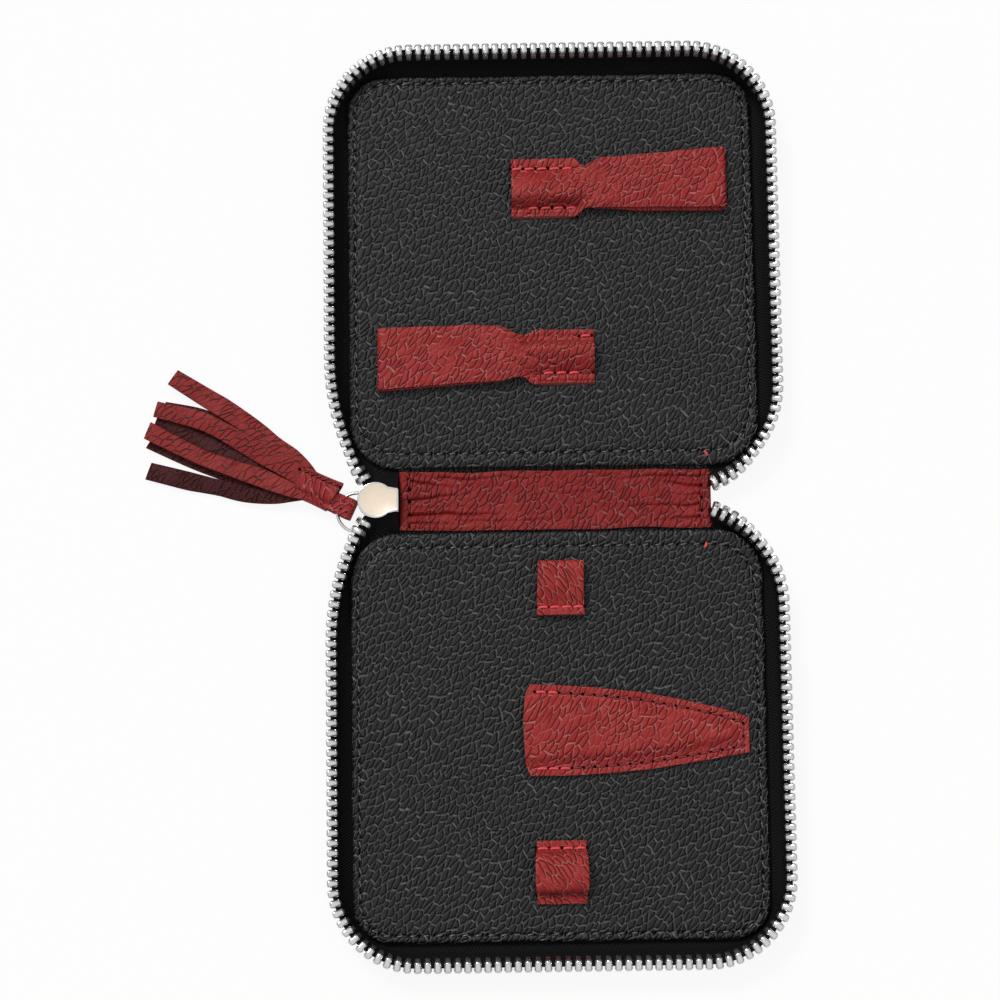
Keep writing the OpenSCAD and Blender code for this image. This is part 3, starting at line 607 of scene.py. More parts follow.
needleHole = makeHole("needleHole", stitchLook["holeRadius"])
awlMark = makeHole("awlMark", stitchLook["awlRadius"])
blackStitch = makeStitch("blackStitch", blackThread, stitchLook["long"], stitchLook["thick"])
redStitch = makeStitch("redStitch", redThread, *stitchKinds["red"])
plainStitch = makeStitch("plainStitch", plainThread, *stitchKinds["plain"])

# the ends of the red thread that come up through the lining beside the spine, and how long they show
threadEnds = {"upper": ((38.73, 11.88), (39.51, 10.75)), "lower": ((38.83, -11.8), (38.23, -13.42))}
threadEndShare = 0.62

for side in sides:
    makeLining(side)
    sign = sides[side]["sign"]
    spots = [(Vector((p.x, -sign * p.y)), Vector((d.x, -sign * d.y)))
             for p, d in walkEvenly(panelBorder(), case["stitchPitch"])]
    piece = sewStitches("lining_seam_" + side + "_thread", blackStitch, spots, stitchLook["height"],
                        stitchLook["slant"], holes=False)
    start, end = (Vector(spot) for spot in threadEnds[side])
    middle, way = start.lerp(end, 0.5), end - start
    loose = joinCopies("looseEnd", redStitch, [placeAt((middle.x, middle.y, case["top"] + 0.3),
                                                       (way.x, way.y, 0), (0, 0, 1), threadEndShare)])
    piece = joinPieces(piece.name, [piece, loose])
    settle(piece, sides[side]["body"], standsFor=["lining_seam_" + side])
print("lining panels made")


# Outer leather: one hide over both halves and the spine, split where nobody sees it

coverLook = {"spineHalf": 40.0, "fillet": 2.4, "edgeRound": 0.35}


def coverHalfWidth(y):
    # half the hide's width at a distance y from the spine's middle
    wide, near, far = case["halfWide"], case["nearCorner"], case["farCorner"]
    fromNear, fromFar = y - case["nearY"], case["farY"] - y
    if fromNear < 0:
        return mix(coverLook["spineHalf"], wide - near, ease(1 + fromNear / coverLook["fillet"]))
    if fromNear < near:
        return wide - near + math.sqrt(max(0.0, near * near - (near - fromNear) ** 2))
    if fromFar < far:
        return wide - far + math.sqrt(max(0.0, far * far - (far - fromFar) ** 2))
    return wide


def coverRows():
    # closer together where the corners turn
    near, far = case["nearCorner"], case["farCorner"]
    nearEnd, farStart = case["nearY"] + near, case["farY"] - far
    turns = (12, 24, 36, 48, 58, 67, 75, 82, 87, 90)
    rows = [0, 2, 4, 5, 6, 6.6, 7.2, 7.8, 8.1]
    rows += [nearEnd - near * math.sin(math.radians(a)) for a in turns[::-1]]
    rows += [mix(nearEnd, farStart, k / 20) for k in range(21)]
    rows += [farStart + far * math.sin(math.radians(a)) for a in turns]
    return rows


def dressCadNode(name, material):
    # a hidden piece of the frame keeps its shape and gets its finish
    cadNodes[name].data.materials.clear()
    cadNodes[name].data.materials.append(material)


def makeCover(side):
    sign = sides[side]["sign"]
    rows = coverRows()
    last = len(rows) - 1

    def place(u, v):
        y = rows[round(v * last)]
        x = (u * 2 - 1) * coverHalfWidth(y)
        return (x, sign * y, case["coverThick"] / 2), (x, sign * y)

    piece = leatherSheet("outer_cover_" + side + "_leather", 60, last, place, case["coverThick"] - 0.02,
                         blackLeather, blackEdge, coverLook["edgeRound"])
    stood = ["outer_cover_" + side] + (["spine_cover"] if side == "lower" else [])
    return settle(piece, bend=foldBend(sign), standsFor=stood)


for side in sides:
    makeCover(side)
dressCadNode("board_lower", greyBoard)
dressCadNode("board_upper", greyBoard)
dressCadNode("spine_stiffener", blackEdge)
print("outer leather made")


# Zip: woven tape, crimped teeth

zipLook = {
    "rowX": 57.5, "rowY": 118.1, "rowEndY": 4.3, "stopEndY": 3.3, "sliderTurn": 65.0, "sliderIn": 8.8,
    "farTurn": 21.0, "stopTurn": 26.0, "stopIn": 16.7, "sideTilt": 75.0, "farTilt": 50.0,
    "endTilt": 20.0, "steepen": 3.75, "stopSteepen": 2.2, "rise": 1.5, "stopRise": 1.4,
    "drawnFrom": 0.45, "edgeZ": 7.654, "chainZ": 4.68, "stopEndZ": 4.7, "edgeReach": 0.7,
    "toothPitch": 2.5, "toothLeg": 2.2, "toothHead": 1.9, "firstTooth": 1.6, "lastTooth": 0.3,
    "foot": 0.5, "bow": 0.7, "wallRise": 0.1, "wallSteps": 5, "cornerSteps": (16, 16, 16, 18),
    "straightSteps": 12, "limpStart": 12.5, "limpEnd": 4.4,
}


def arcSpot(centre, radius, start, end, f):
    turn = math.radians(mix(start, end, f))
    return centre[0] + radius * math.cos(turn), centre[1] + radius * math.sin(turn), mix(start, end, f)


def rowAt(corner, f):
    # the tooth row at one of the four corners: x, y, z, outward angle, tilt
    look = zipLook
    if corner == 0:
        arc = math.acos(1 - look["sliderIn"] / look["sliderTurn"])
        centre = (look["sliderTurn"] - look["rowX"],
                  -look["rowEndY"] - look["sliderTurn"] * math.sin(arc))
        x, y, a = arcSpot(centre, look["sliderTurn"], 180 - math.degrees(arc), 180, f)
        return (x, y, mix(look["chainZ"], look["edgeZ"], ease(f * look["rise"])), a,
                mix(look["endTilt"], look["sideTilt"], ease(f * look["steepen"])))
    farX, farY = look["rowX"] - look["farTurn"], look["farTurn"] - look["rowY"]
    if corner == 1:
        x, y, a = arcSpot((-farX, farY), look["farTurn"], 180, 270, f)
        return x, y, look["edgeZ"], a, mix(look["sideTilt"], look["farTilt"], ease(f))
    if corner == 2:
        x, y, a = arcSpot((farX, farY), look["farTurn"], 270, 360, f)
        return x, y, look["edgeZ"], a, mix(look["farTilt"], look["sideTilt"], ease(f))
    arc = math.acos(1 - look["stopIn"] / look["stopTurn"])
    centre = (look["rowX"] - look["stopTurn"], -look["rowEndY"] - look["stopTurn"] * math.sin(arc))
    x, y, a = arcSpot(centre, look["stopTurn"], 360, 360 + math.degrees(arc), f)
    # the last teeth are drawn together towards the stop
    y += (look["rowEndY"] - look["stopEndY"]) * ease((f - look["drawnFrom"]) / (1 - look["drawnFrom"]))
    return (x, y, mix(look["edgeZ"], look["stopEndZ"], ease(1 - (1 - f) * look["stopRise"])), a,
            mix(look["sideTilt"], look["endTilt"], ease(1 - (1 - f) * look["stopSteepen"])))


def edgeWay(row):
    # unit vector out of the tape's edge
    angle, tilt = math.radians(row[3]), math.radians(row[4])
    return Vector((math.cos(tilt) * math.cos(angle), math.cos(tilt) * math.sin(angle), math.sin(tilt)))


def tapeSection(row):
    # middle line of the tape across its width, from under the lining to its edge
    x, y = row[0], row[1]
    middle = -(case["farY"] + case["nearY"]) / 2
    corner = case["nearCorner"] if y > middle else case["farCorner"]
    coreX = clamp(x, corner - case["halfWide"], case["halfWide"] - corner)
    coreY = clamp(y, corner - case["farY"], -case["nearY"] - corner)
    out = Vector((x - coreX, y - coreY, 0)).normalized()
    seam = Vector((coreX, coreY, case["tapeMid"])) + out * corner
    foot = seam + out * zipLook["foot"]
    edge = Vector(row[:3])
    crimp = edge - edgeWay(row) * (zipLook["toothLeg"] + 0.1)
    low = Vector((mix(foot.x, crimp.x, zipLook["bow"]), mix(foot.y, crimp.y, zipLook["bow"]),
                  mix(foot.z, crimp.z, zipLook["wallRise"])))
    steps = zipLook["wallSteps"]
    wall = [foot.lerp(low, k / steps).lerp(low.lerp(crimp, k / steps), k / steps)
            for k in range(1, steps + 1)]
    reach = edge + edgeWay(row) * zipLook["edgeReach"]
    return [seam - out * case["seamWide"], seam, foot] + wall + [crimp.lerp(edge, 0.5), reach]


def tapeRows():
    # the rows of the whole tape, from beside the slider round to the stop
    rows = []
    for corner, steps in enumerate(zipLook["cornerSteps"]):
        rows += [rowAt(corner, k / steps) for k in range(steps + 1)]
    sections = []
    for k, row in enumerate(rows):
        # a straight side gets sections of its own
        if k and (Vector(row[:2]) - Vector(rows[k - 1][:2])).length > 6:
            before, after = sections[-1], tapeSection(row)
            count = zipLook["straightSteps"]
            sections += [[a.lerp(b, n / count) for a, b in zip(before, after)] for n in range(1, count)]
        sections.append(tapeSection(row))
    return sections


# where the tape goes on past its last teeth: through the slider, and under the spine's end
tapeTails = {
    "slider": [(-47.2, -3.1, -42.6, -8.0, 4.68), (-45.2, -2.0, -42.0, -8.1, 4.68),
               (-43.0, -1.0, -41.2, -8.1, 4.68), (-40.6, -0.7, -40.4, -7.9, 4.6)],
    "stop": [(40.2, -2.9, 40.8, -8.0, 3.4), (39.4, -2.7, 39.6, -7.9, 2.0)],
}


def tailSection(edgeX, edgeY, footX, footY, edgeZ, points):
    edge = Vector((edgeX, edgeY, edgeZ))
    foot = Vector((footX, footY, case["tapeMid"]))
    flank = Vector((mix(footX, edgeX, 0.45), min(edgeY - 2.4, mix(footY, edgeY, 0.5)), edgeZ))
    section = [foot - Vector((0, 2.0, 0)), foot - Vector((0, 1.0, 0))]
    count = points - 2
    for k in range(count):
        g = k / (count - 1)
        section.append(foot.lerp(flank, g).lerp(flank.lerp(edge, g), g))
    return section


def makeTape(side, material):
    sign = sides[side]["sign"]
    sections = tapeRows()
    points = len(sections[0])
    head = [tailSection(*tail, points) for tail in reversed(tapeTails["slider"])]
    tail = [tailSection(*end, points) for end in tapeTails["stop"]]
    sections = head + sections + tail
    lengths, done = [], 0.0
    for k, section in enumerate(sections):
        done += (section[-1] - sections[k - 1][-1]).length if k else 0.0
        lengths.append(done)
    across = [0.0]
    for a, b in zip(sections[40], sections[40][1:]):
        across.append(across[-1] + (b - a).length)
    last = len(sections) - 1

    def place(u, v):
        k, j = round(u * last), round(v * (points - 1))
        spot = sections[k][j]
        return (spot.x, -sign * spot.y, spot.z), (lengths[k], across[j])

    piece = bentGrid("zip_tape_" + side + "_woven", last, points - 1, place)
    piece.data.materials.append(material)
    applyModifier(piece, "SOLIDIFY", thickness=case["tapeThick"] * mm, offset=0.0)
    smoothShade(piece, 50)
    return settle(piece, bend=foldBend(sign, zipLook["limpStart"], zipLook["limpEnd"]),
                  standsFor=["zip_tape_" + side, "tape_ends_" + side])


toothLook = {"headWide": 2.1, "headThick": 2.75, "roundness": 0.62, "stepDown": 0.85, "stepSlim": 0.84,
             "stepNear": 0.42,
             # back along the leg: length of each stretch, its width and thickness against the one before
             "leg": [(0.12, 2.0, 0.92), (0.6, 1.06, 1.0), (1.1, 1.04, 1.0), (0.35, 0.78, 0.85)]}


def makeTooth():
    # one tooth: a rounded head, a waist and a pair of legs crimped over the tape's corded edge;
    # X points out of the tape, Z through its thickness
    look = toothLook
    bpy.ops.object.select_all(action="DESELECT")
    bpy.ops.mesh.primitive_cube_add(size=1, location=(zipLook["toothHead"] / 2 * mm, 0, 0))
    piece = bpy.context.object
    piece.name = "zipTooth"
    piece.scale = (zipLook["toothHead"] * mm, look["headWide"] * mm, look["headThick"] * mm)
    bpy.ops.object.transform_apply(location=True, scale=True)
    bpy.ops.object.mode_set(mode="EDIT")
    bpy.ops.mesh.select_all(action="SELECT")
    bpy.ops.mesh.subdivide(number_cuts=2)
    bpy.ops.transform.tosphere(value=look["roundness"])
    bpy.ops.object.mode_set(mode="OBJECT")
    # the sphere pulls every side in; stretch the head back to its size
    low = [min(v.co[k] for v in piece.data.vertices) for k in range(3)]
    high = [max(v.co[k] for v in piece.data.vertices) for k in range(3)]
    size = (zipLook["toothHead"] * mm, look["headWide"] * mm, look["headThick"] * mm)
    for vertex in piece.data.vertices:
        for k in range(3):
            share = (vertex.co[k] - low[k]) / (high[k] - low[k])
            vertex.co[k] = (share - (0.0 if k == 0 else 0.5)) * size[k]
        # the half of the head that faces the lining is cast lower and slimmer
        if vertex.co.z < -0.2 * mm and vertex.co.x > 0.3 * size[0]:
            vertex.co.x -= look["stepDown"] * mm
            vertex.co.y *= look["stepSlim"]
            if vertex.co.z > -0.8 * mm:
                vertex.co.z += look["stepNear"] * mm
    selectFaces(piece, lambda polygon: polygon.normal.x < -0.5 and abs(polygon.center.y) < 0.3 * mm)
    bpy.ops.object.mode_set(mode="EDIT")
    bpy.ops.mesh.select_mode(type="FACE")
    bpy.ops.transform.resize(value=(0, 1, 1))
    for long, wide, thick in look["leg"]:
        bpy.ops.mesh.extrude_region_move(TRANSFORM_OT_translate={"value": (-long * mm, 0, 0)})
        bpy.ops.transform.resize(value=(1, wide, thick))
    bpy.ops.object.mode_set(mode="OBJECT")
    piece.data.materials.append(nickel)
    smoothShade(piece, 70)
    return piece


def rowLength(points):
    return sum((Vector(b[:2]) - Vector(a[:2])).length for a, b in zip(points, points[1:]))


def makeTeeth(side, master):
    sign = sides[side]["sign"]
    rows = []
    for corner in range(4):
        rows += [rowAt(corner, k / 60) for k in range(61)]
    rows = [Vector(row) for row in rows]
    total = rowLength(rows)
    # as many as fit at the real pitch, spread so that the last one sits at the row's end
    first, last = zipLook["firstTooth"], total - zipLook["lastTooth"]
    count = int((total - 1 - first) / zipLook["toothPitch"]) + 1
    pitch = (last - first) / (count - 1)
    places, done, nextAt = [], 0.0, first
    for a, b in zip(rows, rows[1:]):
        length = (Vector(b[:2]) - Vector(a[:2])).length
        while length > 0 and nextAt <= done + length and len(places) < count:
            row = a.lerp(b, (nextAt - done) / length)
            way = edgeWay(row)
            flip = Vector((1, -sign, 1))
            angle = math.radians(row[3])
            face = Vector((-math.sin(angle), math.cos(angle), 0)).cross(way)
            spot = Vector((row[0], row[1], row[2])) * flip
            places.append(placeAt(spot, way * flip, face * flip))
            nextAt += pitch
        done += length
    piece = joinCopies("zip_teeth_" + side + "_metal", master, places)
    return settle(piece, bend=foldBend(sign, zipLook["limpStart"], zipLook["limpEnd"]),
                  standsFor=["zip_teeth_" + side, "teeth_ends_" + side])


zipTooth = makeTooth()
for side in sides:
    makeTape(side, zipTape)
    makeTeeth(side, zipTooth)
dressCadNode("tape_tuck", zipTape)
dressCadNode("bottom_stop", nickel)
print("zip tapes and teeth made")


# Spine lining: thin red leather, wrinkled along its length, folded over at both ends

spineLook = {"long": 80.0, "wide": 15.2, "thick": 0.6, "bottom": 1.45, "wrinkle": 0.14, "hemWide": 2.1,
             "hemRise": 0.38, "seamDeep": 0.4, "seamWide": 0.28, "foldWide": 0.42, "sideRise": 0.25,
             "sideFrom": 5.5, "stitchAt": 37.75, "stitchFrom": -4.9, "stitchPitch": 3.25, "stitches": 4,
             "stitchHigh": 2.4, "shiftY": -0.1}
# folds along the spine: from x and y to x and y, and how deep each is
spineFolds = [((-38, -3.5), (-14, -3.0), 0.5), ((-38, 0.4), (-21, 2.4), 0.42),
              ((-38, 5.6), (-25, 3.3), 0.42), ((-38, -5.6), (-22, -6.2), 0.3),
              ((-30, 6.1), (-2, 5.6), 0.24), ((-26, -5.2), (6, -4.9), 0.18),
              ((38, -1.4), (17, -2.2), 0.36), ((38, 3.3), (24, 4.3), 0.36),
              ((38, 5.9), (12, 5.2), 0.26), ((38, -4.6), (25, -5.6), 0.36),
              ((38, 1.2), (29, 1.0), 0.22), ((16, 1.8), (-18, 1.2), 0.15)]


def spinePlace(u, v):
    look = spineLook
    x = (u * 2 - 1) * look["long"] / 2
    y = (v * 2 - 1) * look["wide"] / 2
    inside = ease((look["long"] / 2 - abs(x)) / 3) * ease((look["wide"] / 2 - abs(y)) / 1.0)
    z = look["bottom"] + look["thick"] / 2 + look["wrinkle"] * inside * (0.5 + ripple(x, y * 4, 16, 2.2))
    for start, end, deep in spineFolds:
        f = (x - start[0]) / (end[0] - start[0])
        if 0 <= f <= 1:
            wander = mix(start[1], end[1], f) + 0.35 * ripple(x, start[1], 7, 1.3)
            off = (y - wander) / look["foldWide"]
            # a sunk line with a raised lip beside it
            z += deep * 1.5 * (1 - f) ** 0.6 * (0.75 * math.exp(-(off - 1.8) ** 2) - math.exp(-off * off))
    z += look["sideRise"] * ease((abs(y) - look["sideFrom"]) / 2.0)
    y += look["shiftY"] + 0.25 * ripple(x, 0, 15, 4.0 + v)
    # the end is folded over on itself and stitched
    hem = look["long"] / 2 - abs(x)
    if hem < look["hemWide"]:
        z += look["hemRise"] * ease(min(hem / 0.35, (look["hemWide"] - hem) / 0.4)) + 0.05
    z -= look["seamDeep"] * math.exp(-((hem - look["hemWide"] - 0.15) / look["seamWide"]) ** 2)
    return (x, y, z), (x, y)


piece = leatherSheet("spine_lining_leather", 200, 60, spinePlace, spineLook["thick"], deepLeather,
                     redEdge, 0.12)
settle(piece, "spine", standsFor=["spine_lining", "spine_lining_hems"])

spots = []
for end in (-1, 1):
    spots += stitchRow((end * spineLook["stitchAt"], spineLook["stitchFrom"]),
                       (0, spineLook["stitchPitch"]), spineLook["stitches"], (0.05, 1))
piece = sewStitches("spine_stitches_thread", plainStitch, spots, spineLook["stitchHigh"])
settle(piece, "spine", standsFor=["spine_stitches"])
print("spine made")


# Slider: two lacquered plates with a post between them, and a bail for the ring

sliderLook = {"tailX": -40.3, "headX": -46.2, "headRound": 4.7, "tailWide": 6.2, "plateZ": 2.88,
              "plate": 0.7, "channel": 2.2, "rim": 0.34, "bevel": 0.16, "neckIn": 0.72, "neckRise": 0.22,
              "headFrom": 47, "headSteps": 24}
# low corner, high corner and rounding of each small bar; heights count from under the lower plate
sliderBars = [
    ("wall", (-45.0, -3.09, 0.4), (-40.45, -2.61, 3.2), 0.12),
    ("wall", (-45.0, 2.61, 0.4), (-40.45, 3.09, 3.2), 0.12),
    ("post", (-49.6, -0.9, 0.4), (-47.6, 0.9, 3.2), 0.5),
    ("bailLeg", (-48.9, -0.7, -1.75), (-48.3, 0.7, 0.1), 0.15),
    ("bailLeg", (-45.5, -0.7, -1.75), (-44.9, 0.7, 0.1), 0.15),
    ("bailBar", (-48.9, -0.7, -2.25), (-44.9, 0.7, -1.68), 0.2),
]


def sliderOutline():
    # plan of a plate, counter-clockwise: round head to the left, straight tail to the right
    look = sliderLook
    half, head, tail = look["tailWide"] / 2, look["headRound"], look["tailX"]
    neck = look["headX"] + head * look["neckIn"]
    points = [(tail - 0.5, -half), (tail, -half + 0.5), (tail, half - 0.5), (tail - 0.5, half),
              (neck + 1.6, half), (neck + 0.6, half + look["neckRise"])]
    for step in range(look["headSteps"] + 1):
        turn = math.radians(mix(look["headFrom"], 360 - look["headFrom"], step / look["headSteps"]))
        points.append((look["headX"] + head * math.cos(turn), head * math.sin(turn)))
    return points + [(neck + 0.6, -half - look["neckRise"]), (neck + 1.6, -half)]


def makePlate(name, low, face):
    # outline laid flat, filled, raised, its face inset for the lacquer, its corners rounded
    points = sliderOutline()
    bpy.ops.object.select_all(action="DESELECT")
    bpy.ops.mesh.primitive_circle_add(vertices=len(points), radius=1, fill_type="NGON")
    piece = bpy.context.object
    piece.name = name
    for vertex, (x, y) in zip(piece.data.vertices, points):
        vertex.co = Vector((x, y, low)) * mm
    bpy.ops.object.mode_set(mode="EDIT")
    bpy.ops.mesh.select_all(action="SELECT")
    bpy.ops.mesh.extrude_region_move(TRANSFORM_OT_translate={"value": (0, 0, sliderLook["plate"] * mm)})
    bpy.ops.mesh.select_all(action="SELECT")
    bpy.ops.mesh.normals_make_consistent(inside=False)
    bpy.ops.object.mode_set(mode="OBJECT")
    piece.data.materials.append(nickel)
    piece.data.materials.append(sliderFace)
    applyModifier(piece, "BEVEL", width=sliderLook["bevel"] * mm, segments=3, limit_method="ANGLE",
                  angle_limit=math.radians(50))
    if face:
        selectFaces(piece, lambda polygon: polygon.normal.z > 0.99 and polygon.area > 20 * mm * mm)
        bpy.ops.object.mode_set(mode="EDIT")
        bpy.ops.mesh.select_mode(type="FACE")
        bpy.ops.mesh.inset(thickness=sliderLook["rim"] * mm, depth=0)
        bpy.ops.mesh.inset(thickness=0.08 * mm, depth=-0.05 * mm)
        bpy.ops.object.mode_set(mode="OBJECT")
        for polygon in piece.data.polygons:
            if polygon.select:
                polygon.material_index = 1
    smoothShade(piece, 40)
    return piece


def makeBar(name, low, high, bevel):
    # a small cast bar with rounded edges
    bpy.ops.object.select_all(action="DESELECT")
    middle = [(a + b) / 2 * mm for a, b in zip(low, high)]
    bpy.ops.mesh.primitive_cube_add(size=1, location=middle)
    piece = bpy.context.object
    piece.name = name
    piece.scale = [(b - a) * mm for a, b in zip(low, high)]
    bpy.ops.object.transform_apply(location=True, scale=True)
    applyModifier(piece, "BEVEL", width=bevel * mm, segments=3, limit_method="NONE")
    piece.data.materials.append(nickel)
    smoothShade(piece, 40)
    return piece


plateZ = sliderLook["plateZ"]
parts = [makePlate("sliderUpperPlate", plateZ + sliderLook["plate"] + sliderLook["channel"], True),
         makePlate("sliderLowerPlate", plateZ, False)]
# walls that close the channel beside the tail, the post that parts the rows, the bail below
for name, low, high, bevel in sliderBars:
    lift = Vector((0, 0, plateZ))
    parts.append(makeBar(name, Vector(low) + lift, Vector(high) + lift, bevel))
piece = joinPieces("slider_body_cast", parts)
settle(piece, "spine", standsFor=["slider_body"])


# Pull ring: round wire bent to a circle, its ends butted

ringLook = {"x": -51.229, "y": -2.601, "z": 2.031, "outer": 11.0, "wire": 0.9, "jointAt": 250,
            "bentBy": 358.6}


def makeRing():
    look = ringLook
    radius = (look["outer"] - look["wire"]) / 2
    bpy.ops.object.select_all(action="DESELECT")
    start = math.radians(look["jointAt"])
    bpy.ops.mesh.primitive_circle_add(
        vertices=14, radius=look["wire"] / 2 * mm, fill_type="NGON",
        location=(radius * mm, 0, 0), rotation=(math.pi / 2, 0, 0))
    piece = bpy.context.object
    bpy.ops.object.transform_apply(location=True, rotation=True)
    bpy.ops.object.mode_set(mode="EDIT")
    bpy.ops.mesh.select_all(action="SELECT")
    bpy.ops.mesh.spin(steps=71, angle=math.radians(look["bentBy"]), center=(0, 0, 0), axis=(0, 0, 1))
    bpy.ops.mesh.select_all(action="SELECT")
    bpy.ops.mesh.remove_doubles(threshold=0.000001)
    bpy.ops.mesh.normals_make_consistent(inside=False)
    bpy.ops.object.mode_set(mode="OBJECT")
    piece.name = "pull_ring_wire"
    piece.data.transform(Matrix.Translation(Vector((look["x"], look["y"], look["z"])) * mm)
                         @ Matrix.Rotation(start, 4, "Z"))
    piece.data.materials.append(nickel)
    smoothShade(piece, 60)
    return settle(piece, "pull_ring", standsFor=["pull_ring"])


makeRing()
print("slider and ring made")


# Tassel: a strip round the ring, held with the fringe in a sewn collar

tasselLook = {
    "hangX": -55.806, "hangY": -0.467, "turn": 155.0, "thick": 0.8, "loopWide": 5.2, "loopHigh": 4.06,
    "loopIn": 2.4, "tuck": 2.0, "collarFrom": 1.6, "collarTo": 12.1, "collarWide": 8.6,
    "collarHigh": 4.6, "collarShift": -1.2, "collarThick": 0.75, "collarRound": 0.62, "lap": 0.135,
    "lapFrom": 0.19, "lapRise": 0.75, "stripThick": 0.75, "stripLow": 0.42,
    # the seam along the collar, in the tassel's own frame
    "seamFrom": 3.0, "seamAcross": -3.95, "stitches": 6, "stitchPitch": 1.65, "stitchHigh": 4.36,
    "stitchSlant": 24,
    # three awl marks in the loop's upper face, near-black discs of painted shade
    "awlMarks": ((-54.4, 0.0), (-55.3, -1.8), (-53.9, -2.7)),
}


def onTassel(u, v, w):
    # U runs from the ring to the fringe, V across, W up
    turn = math.radians(tasselLook["turn"])
    return (tasselLook["hangX"] + u * math.cos(turn) - v * math.sin(turn),
            tasselLook["hangY"] + u * math.sin(turn) + v * math.cos(turn), w)


def loopPlace(u, v):
    look = tasselLook
    half = look["thick"] / 2
    radius = look["loopHigh"] / 2 - half
    inCollar = look["collarFrom"] + look["tuck"]
    straight = look["loopIn"] + inCollar
    arc = math.pi * radius
    s = u * (2 * straight + arc)
    across = (v - 0.5) * (look["loopWide"] + 0.5 * math.sin(u * math.pi) - 0.3)
    if s < straight:
        spot = (inCollar - s, half)
    elif s < straight + arc:
        turn = (s - straight) / radius
        spot = (-look["loopIn"] - radius * math.sin(turn), half + radius - radius * math.cos(turn))
    else:
        spot = (s - straight - arc - look["loopIn"], look["loopHigh"] - half)
    return onTassel(spot[0], across, spot[1]), (s, across)


piece = leatherSheet("tassel_loop_leather", 50, 10, loopPlace, tasselLook["thick"], redLeather,
                     redEdge, 0.18)
marks = [Matrix.Translation(Vector((x, y, tasselLook["loopHigh"] + 0.03)) * mm)
         for x, y in tasselLook["awlMarks"]]
piece = joinPieces("tassel_loop_leather", [piece, joinCopies("marks", awlMark, marks)])
settle(piece, "tassel", standsFor=["tassel_loop"])


def collarPlace(u, v):
    # a band wrapped once round the tassel's head, its end lapped over its start on top
    look = tasselLook
    half = look["thick"] / 2
    a, b = look["collarWide"] / 2 - half, look["collarHigh"] / 2 - half
    wound = v * (1 + look["lap"])
    turn = 2 * math.pi * (wound + look["lapFrom"])
    c, s = math.cos(turn), math.sin(turn)
    across = a * math.copysign(abs(c) ** look["collarRound"], c)
    up = look["collarHigh"] / 2 + b * math.copysign(abs(s) ** look["collarRound"], s)
    lapped = ease((wound - 1.0) / 0.03)
    up += lapped * look["lapRise"] * (1 if s > 0 else -1) - (0.3 * (1 - lapped) if s > 0.5 else 0)
    length = look["collarFrom"] + 0.15 + u * (look["collarTo"] - look["collarFrom"] - 0.3)
    # both ends of the band are cut a little askew
    length += across * mix(0.15, 0.03, u)
    up += 0.1 * ripple(length, across, 2.6, 5.1) * (s > 0)
    pinch = 1 - 0.05 * math.sin(math.pi * u)
    return onTassel(length, across * pinch + look["collarShift"], up), (length, v * 24)


piece = leatherSheet("tassel_collar_leather", 18, 72, collarPlace, tasselLook["collarThick"],
                     redLeather, redEdge, 0.18)
settle(piece, "tassel", standsFor=["tassel_collar"])

# each strip from its root to its end: x, y and width along it, height at root and end, sideways roll
tasselStrips = [
    {"root": 3.2, "end": 2.4, "roll": 0.12, "hide": "red",
     "line": [(-62.4, 6.6, 3.0), (-64.6, 9.6, 3.0), (-67.6, 12.6, 3.2), (-72.2, 15.5, 4.0),
              (-76.4, 18.7, 4.6), (-80.7, 21.8, 5.0), (-85.2, 24.9, 5.0), (-89.7, 27.7, 5.0),
              (-98.8, 33.5, 4.6)]},
    {"root": 3.75, "end": 3.2, "roll": -0.12, "hide": "red",
     "line": [(-62.8, 5.2, 3.8), (-65.4, 6.6, 4.3), (-69.6, 9.4, 5.0), (-74.3, 11.9, 4.8),
              (-78.8, 14.8, 4.8), (-83.4, 17.6, 4.6), (-88.0, 20.2, 4.5), (-92.9, 22.3, 4.6),
              (-103.2, 25.0, 4.2)]},
    {"root": 3.6, "end": 3.1, "roll": 0.15, "hide": "red",
     "line": [(-63.4, 2.2, 3.0), (-67.2, 3.0, 3.6), (-71.9, 4.9, 4.4), (-76.7, 6.9, 4.7),
              (-81.6, 8.6, 4.5), (-86.5, 10.4, 4.2), (-91.4, 12.3, 4.0), (-96.0, 14.6, 4.2),
              (-105.3, 19.5, 4.5)]},
    # the last four strips lie under the others and take the darker copy of the hide: painted shade
    {"root": 2.4, "end": 1.2, "roll": -0.1, "hide": "shadedStrip",
     "line": [(-64.0, 2.2, 2.6), (-68.0, 1.7, 2.6), (-72.4, 1.5, 3.2), (-77.1, 2.2, 4.2),
              (-81.8, 3.2, 4.5), (-86.5, 4.4, 4.2), (-91.2, 5.5, 4.4), (-95.8, 6.6, 4.8),
              (-105.2, 9.1, 4.5)]},
    {"root": 2.7, "end": 1.7, "roll": 0.1, "hide": "shadedStrip",
     "line": [(-63.5, 3.6, 3.4), (-68.0, 5.0, 3.6), (-76.1, 9.3, 4.2), (-84.9, 13.8, 4.6),
              (-93.9, 18.2, 4.6), (-103.2, 22.2, 4.4)]},
    {"root": 2.4, "end": 1.6, "roll": -0.1, "hide": "shadedStrip",
     "line": [(-62.8, 6.2, 3.4), (-66.7, 9.0, 3.4), (-74.8, 13.9, 3.8), (-82.8, 18.8, 4.2),
              (-91.2, 22.9, 4.4), (-101.0, 24.9, 4.4)]},
    {"root": 1.7, "end": 1.0, "roll": 0.1, "hide": "shadedStrip",
     "line": [(-64.0, 2.4, 2.8), (-68.0, 2.4, 3.0), (-72.7, 3.8, 3.6), (-82.0, 7.2, 4.2),
              (-91.3, 10.8, 4.4), (-104.8, 17.0, 4.4)]},
]


